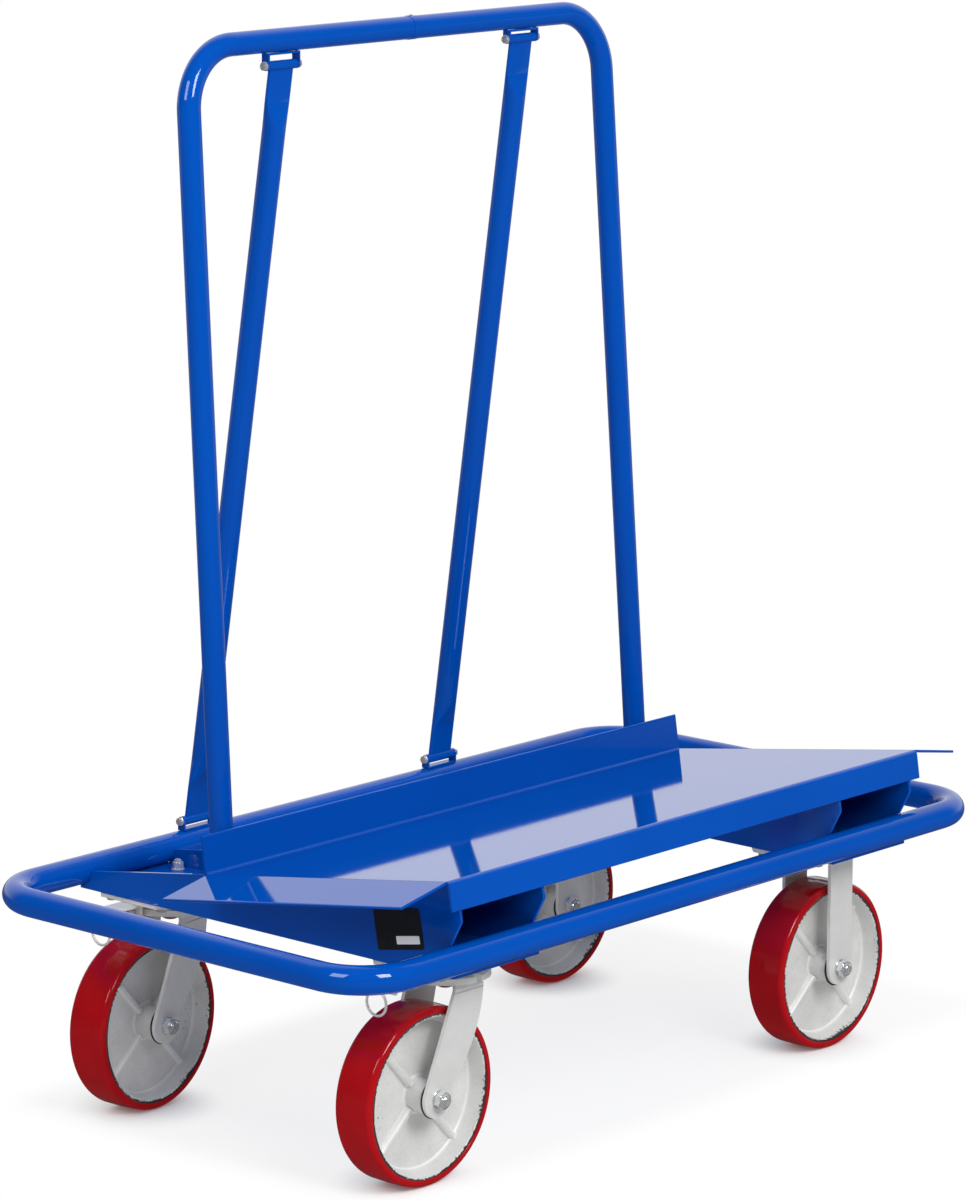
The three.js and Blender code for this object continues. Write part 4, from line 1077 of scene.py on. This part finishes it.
def core_face():
    """One face of the core as height over (radius, angle): the turned profile and the ribs,
    joined by a smooth maximum, (a + b + sqrt((a - b)^2 + k^2)) / 2. A rib's side falls away from
    its middle line by the distance radius sin(angle to the rib)."""
    profile, _ = bent_run(
        [
            (RIM_RADIUS, 0.0),
            (RIM_RADIUS, RIM_HALF),
            (RIM_LIP, RIM_HALF),
            (DISH_RADIUS, WEB_HALF),
            (HUB_RADIUS + HUB_DRAFT, WEB_HALF),
            (HUB_RADIUS, HUB_HALF),
            (HUB_BORE, HUB_HALF),
            (HUB_BORE, 0.0),
        ],
        CORE_ROUNDS,
        steps=7,
    )
    radius, height = divided(profile, CORE_STEP).T[..., None]
    t = np.linspace(-1, 1, CORE_STATIONS, endpoint=False)
    swing = np.tile(np.pi / 4 * (0.25 * t + 0.75 * t**3), 4)
    angle = RIB_PHASE + np.repeat(np.arange(4) * np.pi / 2, len(t)) + swing
    top = np.interp(radius, [HUB_RADIUS, DISH_RADIUS], [RIB_ROOT_TOP, RIB_TOP])
    aside = radius * np.abs(np.sin(swing)) - RIB_HALF
    fall = (aside + np.hypot(aside, RIB_ROUND)) / 2
    rib = top - RIB_SIDE_SLOPE * fall
    joined = (height + rib + np.hypot(height - rib, RIB_ROUND)) / 2
    ribbed = (radius < RIM_LIP) & (radius > HUB_RADIUS + 1.2 * HUB_DRAFT)
    height = np.where(ribbed, joined, height)
    return np.stack([radius * np.cos(angle), height, radius * np.sin(angle)], axis=-1)


def mark_core(core, centre, axle):
    """Two shares at each point: rim_share rises to 1 at the tread, and edge_highlight_share, which
    paints highlight lines, is exp(-(d / EDGE_HIGHLIGHT_HALF)^2) at distance d from a rib's edges and
    from the rims of the dish."""
    spots = np.empty(len(core.data.vertices) * 3, dtype=np.float32)
    core.data.vertices.foreach_get("co", spots)
    arm = spots.reshape(-1, 3) - centre
    ahead, above = arm @ np.cross(axle, UP), arm @ UP
    radius = np.hypot(ahead, above)
    swing = (np.arctan2(above, ahead) - RIB_PHASE + np.pi / 4) % (np.pi / 2) - np.pi / 4
    rib_edge = radius * np.abs(np.sin(swing)) - RIB_HALF
    on_rib = (radius > HUB_RADIUS + 3 * HUB_DRAFT) & (radius < DISH_RADIUS)
    rib_edge = np.where(on_rib, rib_edge, RIM_RADIUS)
    rings = [radius - DISH_RADIUS, radius - HUB_RADIUS - 2.5 * HUB_DRAFT]
    nearest = np.min(np.abs([rib_edge, *rings]), axis=0)
    shares = {
        "rim_share": np.clip((radius - FLASH_START) / (RIM_RADIUS - FLASH_START), 0, 1),
        "edge_highlight_share": np.exp(-((nearest / EDGE_HIGHLIGHT_HALF) ** 2)),
    }
    for name, share in shares.items():
        layer = core.data.attributes.new(name, "FLOAT", "POINT")
        layer.data.foreach_set("value", share.astype(np.float32))


def tread_ring():
    """Closed section with round shoulders and a slightly crowned face, turned about the axle."""
    section, _ = bent_run(
        [
            (TREAD_SEAT, -TREAD_HALF),
            (WHEEL_RADIUS - TREAD_CROWN, -TREAD_HALF),
            (WHEEL_RADIUS, 0.0),
            (WHEEL_RADIUS - TREAD_CROWN, TREAD_HALF),
            (TREAD_SEAT, TREAD_HALF),
        ],
        [TREAD_INNER_ROUND, TREAD_SHOULDER, TREAD_CROWN_ROUND, TREAD_SHOULDER, TREAD_INNER_ROUND],
        closed=True,
        steps=9,
    )
    return revolved(section, 1, 144)


face = core_face()
seal = rod(SEAL_RADIUS, HUB_HALF - SEAL_SINK, SEAL_END, 1, SEAL_CHAMFER)
for c in corners:
    # A near-black seal on each hub end, which partly stands in for the shade in the gap against the
    # fork leg.
    make_piece(
        f"{c}_hub_shade_seals",
        [
            skin(in_caster(grid, wheel_centres[c], axles[c]), capped=False)
            for grid in (seal, seal * (1, -1, 1))
        ],
        painted_shade_seal,
        f"{c}_wheel",
    )
    make_piece(
        f"{c}_tread",
        [skin(in_caster(tread_ring(), wheel_centres[c], axles[c]), closed_rows=True)],
        red_tread,
        f"{c}_wheel",
        [f"{c}_wheel_tread"],
    )
    halves = [in_caster(face * (1, side, 1), wheel_centres[c], axles[c]) for side in (1, -1)]
    core = make_piece(
        f"{c}_core",
        [skin(half, capped=False) for half in halves],
        cast_core,
        f"{c}_wheel",
        [f"{c}_wheel_core"],
        sharp=CORE_SHARP,
    )
    mark_core(core, wheel_centres[c], axles[c])
    dress(f"{c}_wheel_bush", steel)
    dress(f"{c}_axle_sleeve", steel)

# Axle and plate fasteners
# Hexagon bolts through the fork legs, each with a collared lock nut on the front leg, and four
# bolts through each caster plate with their nuts and washers on the channel floor. Zinc plated.
AXLE_BOLT = 0.012
AXLE_FLATS = 0.0181
AXLE_HEAD = 0.0078
AXLE_NUT = 0.0100
AXLE_COLLAR = 0.0074
AXLE_COLLAR_END = ((0.0, 0.0008), (0.0005, 0.0019), (0.0013, 0.0022))
AXLE_COLLAR_DISH = 0.0018
AXLE_TIP = 0.0135
AXLE_CHAMFER = 0.001
AXLE_WASHER = 0.0106
AXLE_WASHER_SHEET = 0.0016
WASHER_CHAMFER = 0.0003
FORK_OUTER = FORK_INNER + FORK_SHEET
PLATE_BOLT = 0.008
PLATE_FLATS = 0.0115
PLATE_HEAD = 0.0053
PLATE_NUT = 0.0078
PLATE_TIP = 0.003
PLATE_TIP_CHAMFER = 0.0009
PLATE_WASHER = 0.0078
PLATE_WASHER_SHEET = 0.0015
HEX_TURNS = {"front_left": 0.2, "back_left": 0.7, "front_right": 0.45, "back_right": 0.1}

for c in corners:
    body = f"{c}_swivel" if c in swivels else "frame"
    head = [
        rod(AXLE_WASHER, FORK_OUTER, FORK_OUTER + AXLE_WASHER_SHEET, 1, WASHER_CHAMFER),
        hexagon(AXLE_FLATS, AXLE_HEAD, 1, HEX_TURNS[c]) + FORK_OUTER * BACK,
        rod(AXLE_BOLT / 2, -FORK_OUTER - AXLE_TIP, FORK_OUTER, 1, AXLE_CHAMFER),
    ]
    collar_top = AXLE_NUT + AXLE_COLLAR_END[-1][1]
    collar = [
        (0.0, 0.0),
        (AXLE_COLLAR, 0.0),
        *[(AXLE_COLLAR - inset, AXLE_NUT + rise) for inset, rise in AXLE_COLLAR_END],
        (AXLE_BOLT / 2, collar_top),
        (0.0, collar_top - AXLE_COLLAR_DISH),
    ]
    nut = [
        rod(AXLE_WASHER, 0.0, AXLE_WASHER_SHEET, 1, WASHER_CHAMFER),
        hexagon(AXLE_FLATS, AXLE_NUT, 1, -HEX_TURNS[c]),
        revolved(collar, 1),
    ]
    nut = [-BACK * FORK_OUTER + grid * (1, -1, 1) for grid in nut]
    for name, grids, node in (("axle_hex", head, "axle_bolt"), ("axle_lock_nut", nut, "axle_nut")):
        make_piece(
            f"{c}_{name}",
            [skin(in_caster(grid, wheel_centres[c], axles[c]), capped=False) for grid in grids],
            bright_zinc,
            body,
            [f"{c}_{node}"],
        )
    floor_spot = (swivels[c] if c in swivels else wheel_centres[c]) * (1, 1, 0)
    grids = []
    for along in (-1, 1):
        for across in (-1, 1):
            spot = floor_spot + np.array([along * PLATE_HOLES_X / 2, across * PLATE_HOLES_Y / 2, 0])
            turn = HEX_TURNS[c] + 0.5 * along + 0.3 * across
            head = hexagon(PLATE_FLATS, PLATE_HEAD, 2, turn) * (1, 1, -1) + PLATE_LOW * UP
            nut_low = channel_floor + PLATE_WASHER_SHEET
            washer = rod(PLATE_WASHER, channel_floor, nut_low, 2, WASHER_CHAMFER)
            nut = hexagon(PLATE_FLATS, PLATE_NUT, 2, -turn) + nut_low * UP
            tip_high = nut_low + PLATE_NUT + PLATE_TIP
            tip = rod(PLATE_BOLT / 2, nut_low, tip_high, 2, PLATE_TIP_CHAMFER)
            grids += [spot + grid for grid in (head, washer, nut, tip)]
    make_piece(
        f"{c}_plate_bolts",
        [skin(grid, capped=False) for grid in grids],
        bright_zinc,
        "frame",
    )

# Rating plate
# A blank thin plastic plate, black with a pale field, stuck on the outer web of the left channel
# in line with the tray's slope.
BADGE_LENGTH = 0.068
BADGE_HEIGHT = 0.045
BADGE_SHEET = 0.0005
BADGE_TILT = np.radians(10.5)
BADGE_CENTRE = (-0.205, 0.2853)
BADGE_CORNER = 0.003
BADGE_LIFT = 0.00002
BADGE_IOR = 1.45
FIELD_LENGTH = 0.034
FIELD_HEIGHT = 0.009
FIELD_CENTRE = (0.012, -0.012)
FIELD_CORNER = 0.001
FIELD_RISE = 0.0001
SCUFF_SCALE = 90.0
BLACK_DEEP = (0.006, 0.006, 0.007)
BLACK_SCUFFED = (0.014, 0.014, 0.016)
WHITE_SCUFFED = (0.80, 0.80, 0.79)
WHITE_CLEAN = (0.90, 0.90, 0.89)

plate_black, place = new_finish("plate_black", {"IOR": BADGE_IOR})
scuff = noise(place, SCUFF_SCALE, 3.0)
feed(
    plate_black,
    {
        "Base Color": tint(scuff, BLACK_DEEP, BLACK_SCUFFED),
        "Roughness": 0.3 + 0.2 * scuff,
    },
)
plate_white, place = new_finish("plate_white", {})
scuff = noise(place, SCUFF_SCALE, 3.0)
feed(
    plate_white,
    {
        "Base Color": tint(scuff, WHITE_SCUFFED, WHITE_CLEAN),
        "Roughness": 0.35 + 0.2 * scuff,
    },
)
web_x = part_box("left_channel")[0].x
badge_origin = np.array([web_x, *BADGE_CENTRE])
badge_along = np.array([0.0, -np.cos(BADGE_TILT), np.sin(BADGE_TILT)])
badge_up = np.array([0.0, np.sin(BADGE_TILT), np.cos(BADGE_TILT)])


def badge_slab(centre, length, height, corner, ends):
    """A round-cornered rectangle carried outwards from the web."""
    square = np.array([(-1, -1), (1, -1), (1, 1), (-1, 1)]) * (length / 2, height / 2) + centre
    section, _ = bent_run(square, corner, closed=True, steps=6)
    return skin(carried(section, ends, badge_origin, badge_along, badge_up, -RIGHT))


badge_ends = (BADGE_LIFT, BADGE_SHEET)
field_ends = (BADGE_SHEET / 2, BADGE_SHEET + FIELD_RISE)
make_piece(
    "rating_plate",
    [badge_slab((0, 0), BADGE_LENGTH, BADGE_HEIGHT, BADGE_CORNER, badge_ends)],
    plate_black,
    "frame",
)
make_piece(
    "rating_plate_field",
    [badge_slab(FIELD_CENTRE, FIELD_LENGTH, FIELD_HEIGHT, FIELD_CORNER, field_ends)],
    plate_white,
    "frame",
)

# Studio
# A plain pale floor that runs out to white, soft lamps above, and the photograph's camera.
CAMERA_PLACE = (-4.2063, -3.7077, 1.6991)
CAMERA_YAW = np.radians(48.398)
CAMERA_PITCH = np.radians(11.519)
CAMERA_ROLL = np.radians(0.155)
CAMERA_FOCUS = 5010.4
PHOTO_HEIGHT = 1200
SENSOR = 36.0
FLOOR_HALF = 30.0
FLOOR_PALE = 0.86
FLOOR_MIRRORED = 0.05
FLOOR_BOUNCE = 0.40
PATCH_CENTRE = (0.065, 0.030, 0.0)
PATCH_HALF = (0.500, 0.255, 1.0)
PATCH_FADE = 0.075
PATCH_SHARE = 0.80
CONTACT_REACH = 0.10
SIGHT_LINE = (0.735, 0.678, 0.0)
MIRROR_NEAR = 0.03
MIRROR_FAR = 0.30
MIRROR_STRIP = (1.0, 2.4)
TOP_LIGHT = 0.75
FRONT_LIGHT = 2.4
BACK_LIGHT = 1.2
TOWARDS_FRONT = (0.1, -0.995, 0.0)
TOWARDS_BACK = (0.1, 0.995, 0.0)
TOP_SPREAD = (0.55, 0.95)
SIDE_SPREAD = (0.2, 0.8)
SIDE_RISE = (0.3, 0.6)
SIGHT_SPREAD = (0.2, 0.7)
ROOM_DARK = 0.05
LAMP_TARGET = (0.0, 0.0, 0.4)
FRONT_LAMP = ((-0.9, -2.9, 2.55), (1.1, 1.4), 70.0)
LEFT_LAMP = ((-3.0, -0.2, 2.55), (1.3, 1.4), 36.0)

sight = np.array(
    [
        np.sin(CAMERA_YAW) * np.cos(CAMERA_PITCH),
        np.cos(CAMERA_YAW) * np.cos(CAMERA_PITCH),
        -np.sin(CAMERA_PITCH),
    ]
)
level = np.array([np.cos(CAMERA_YAW), -np.sin(CAMERA_YAW), 0.0])
upright = np.cross(level, sight)
camera_right = np.cos(CAMERA_ROLL) * level + np.sin(CAMERA_ROLL) * upright
camera_up = np.cos(CAMERA_ROLL) * upright - np.sin(CAMERA_ROLL) * level
camera_data = bpy.data.cameras.new("camera")
camera_data.sensor_width = SENSOR
camera_data.lens = CAMERA_FOCUS * SENSOR / PHOTO_HEIGHT
camera = bpy.data.objects.new("camera", camera_data)
bpy.context.scene.collection.objects.link(camera)
turn = np.eye(4)
turn[:3, :3] = np.stack([camera_right, camera_up, -sight], axis=1)
turn[:3, 3] = CAMERA_PLACE
camera.matrix_world = Matrix(turn.tolist())
bpy.context.scene.camera = camera

floor_mesh = bpy.data.meshes.new("floor")
floor_corners = FLOOR_HALF * np.array([(-1, -1, 0), (1, -1, 0), (1, 1, 0), (-1, 1, 0)])
floor_mesh.from_pydata(floor_corners.tolist(), [], [(0, 1, 2, 3)])
floor = bpy.data.objects.new("floor", floor_mesh)
bpy.context.scene.collection.objects.link(floor)


def light_paths(tree):
    """Shares of 0 or 1: rays that the camera sends, and rays that were mirrored or let through."""
    path = tree.nodes.new("ShaderNodeLightPath")
    kinds = ("Camera", "Glossy", "Transmission")
    seen, glossy, through = [Shade(tree, path.outputs[f"Is {kind} Ray"]) for kind in kinds]
    return seen, glossy + through


floor_finish = bpy.data.materials.new("floor")
floor_finish.use_nodes = True
floor_mesh.materials.append(floor_finish)
tree = floor_finish.node_tree
tree.nodes.remove(tree.nodes["Principled BSDF"])
seen, mirrored = light_paths(tree)
floor_grey = FLOOR_PALE - (FLOOR_PALE - FLOOR_MIRRORED) * mirrored
lit = seen.node("ShaderNodeBsdfDiffuse", {}, {"Color": floor_grey})
white = seen.node("ShaderNodeEmission", {}, {"Color": (1.0, 1.0, 1.0, 1.0), "Strength": 1.0})
spot = Shade(tree, tree.nodes.new("ShaderNodeTexCoord").outputs["Object"])


def on_floor(operation, sockets, out="Vector"):
    """A vector sum on places on the floor."""
    return spot.node("ShaderNodeVectorMath", {"operation": operation}, sockets, out=out)


beside = on_floor("ABSOLUTE", {0: on_floor("SUBTRACT", {0: spot, 1: PATCH_CENTRE})})
beyond = on_floor("MAXIMUM", {0: on_floor("SUBTRACT", {0: beside, 1: PATCH_HALF}), 1: (0.0, 0.0, 0.0)})
outside = ramp(on_floor("LENGTH", {0: beyond}, "Value"), 0.0, PATCH_FADE)
seen_share = PATCH_SHARE + (1 - PATCH_SHARE) * outside
for centre in wheel_centres.values():
    contact = (centre[0], centre[1], 0.0)
    away = on_floor("DISTANCE", {0: spot, 1: contact}, "Value")
    seen_share = seen_share * ramp(away, 0.0, CONTACT_REACH)
behind = on_floor("DOT_PRODUCT", {0: spot, 1: SIGHT_LINE}, "Value")
mirror_share = MIRROR_NEAR + (MIRROR_FAR - MIRROR_NEAR) * ramp(behind, *MIRROR_STRIP)
share = FLOOR_BOUNCE + seen * (seen_share - FLOOR_BOUNCE) + mirrored * (mirror_share - FLOOR_BOUNCE)
mixed = seen.node("ShaderNodeMixShader", {}, {0: share, 1: lit, 2: white})
tree.links.new(mixed.socket, tree.nodes["Material Output"].inputs["Surface"])

world = bpy.data.worlds.new("studio")
bpy.context.scene.world = world
world.use_nodes = True
tree = world.node_tree
seen, mirrored = light_paths(tree)
heading = Shade(tree, tree.nodes.new("ShaderNodeTexCoord").outputs["Generated"])


def facing(direction):
    """1 towards the direction, 0 square to it, -1 away from it."""
    sockets = {0: heading, 1: direction}
    return heading.node("ShaderNodeVectorMath", {"operation": "DOT_PRODUCT"}, sockets, out="Value")


height = facing((0.0, 0.0, 1.0))
room = TOP_LIGHT * ramp(height, *TOP_SPREAD)
above_floor = ramp(height, *SIDE_RISE)
for light, direction in ((FRONT_LIGHT, TOWARDS_FRONT), (BACK_LIGHT, TOWARDS_BACK)):
    room = room + light * ramp(facing(direction), *SIDE_SPREAD) * above_floor
mirror_room = ROOM_DARK + (1 - ROOM_DARK) * ramp(facing(SIGHT_LINE), *SIGHT_SPREAD)
room = room + mirrored * (mirror_room - room)
strength = room + seen * (1.0 - room)
backdrop = tree.nodes["Background"]
tree.links.new(strength.socket, backdrop.inputs["Strength"])
backdrop.inputs["Color"].default_value = (1.0, 1.0, 1.0, 1.0)


def soft_lamp(name, place, size, power):
    """A rectangular lamp that points at the cart's lower half."""
    lamp_data = bpy.data.lights.new(name, "AREA")
    lamp_data.shape = "RECTANGLE"
    lamp_data.size, lamp_data.size_y = size
    lamp_data.energy = power
    lamp = bpy.data.objects.new(name, lamp_data)
    bpy.context.scene.collection.objects.link(lamp)
    back = unit(np.array(place) - np.array(LAMP_TARGET))
    side = unit(np.cross(UP, back))
    pose = np.eye(4)
    pose[:3, :3] = np.stack([side, np.cross(back, side), back], axis=1)
    pose[:3, 3] = place
    lamp.matrix_world = Matrix(pose.tolist())


soft_lamp("front", *FRONT_LAMP)
soft_lamp("left", *LEFT_LAMP)
bpy.context.scene.view_settings.view_transform = "Standard"
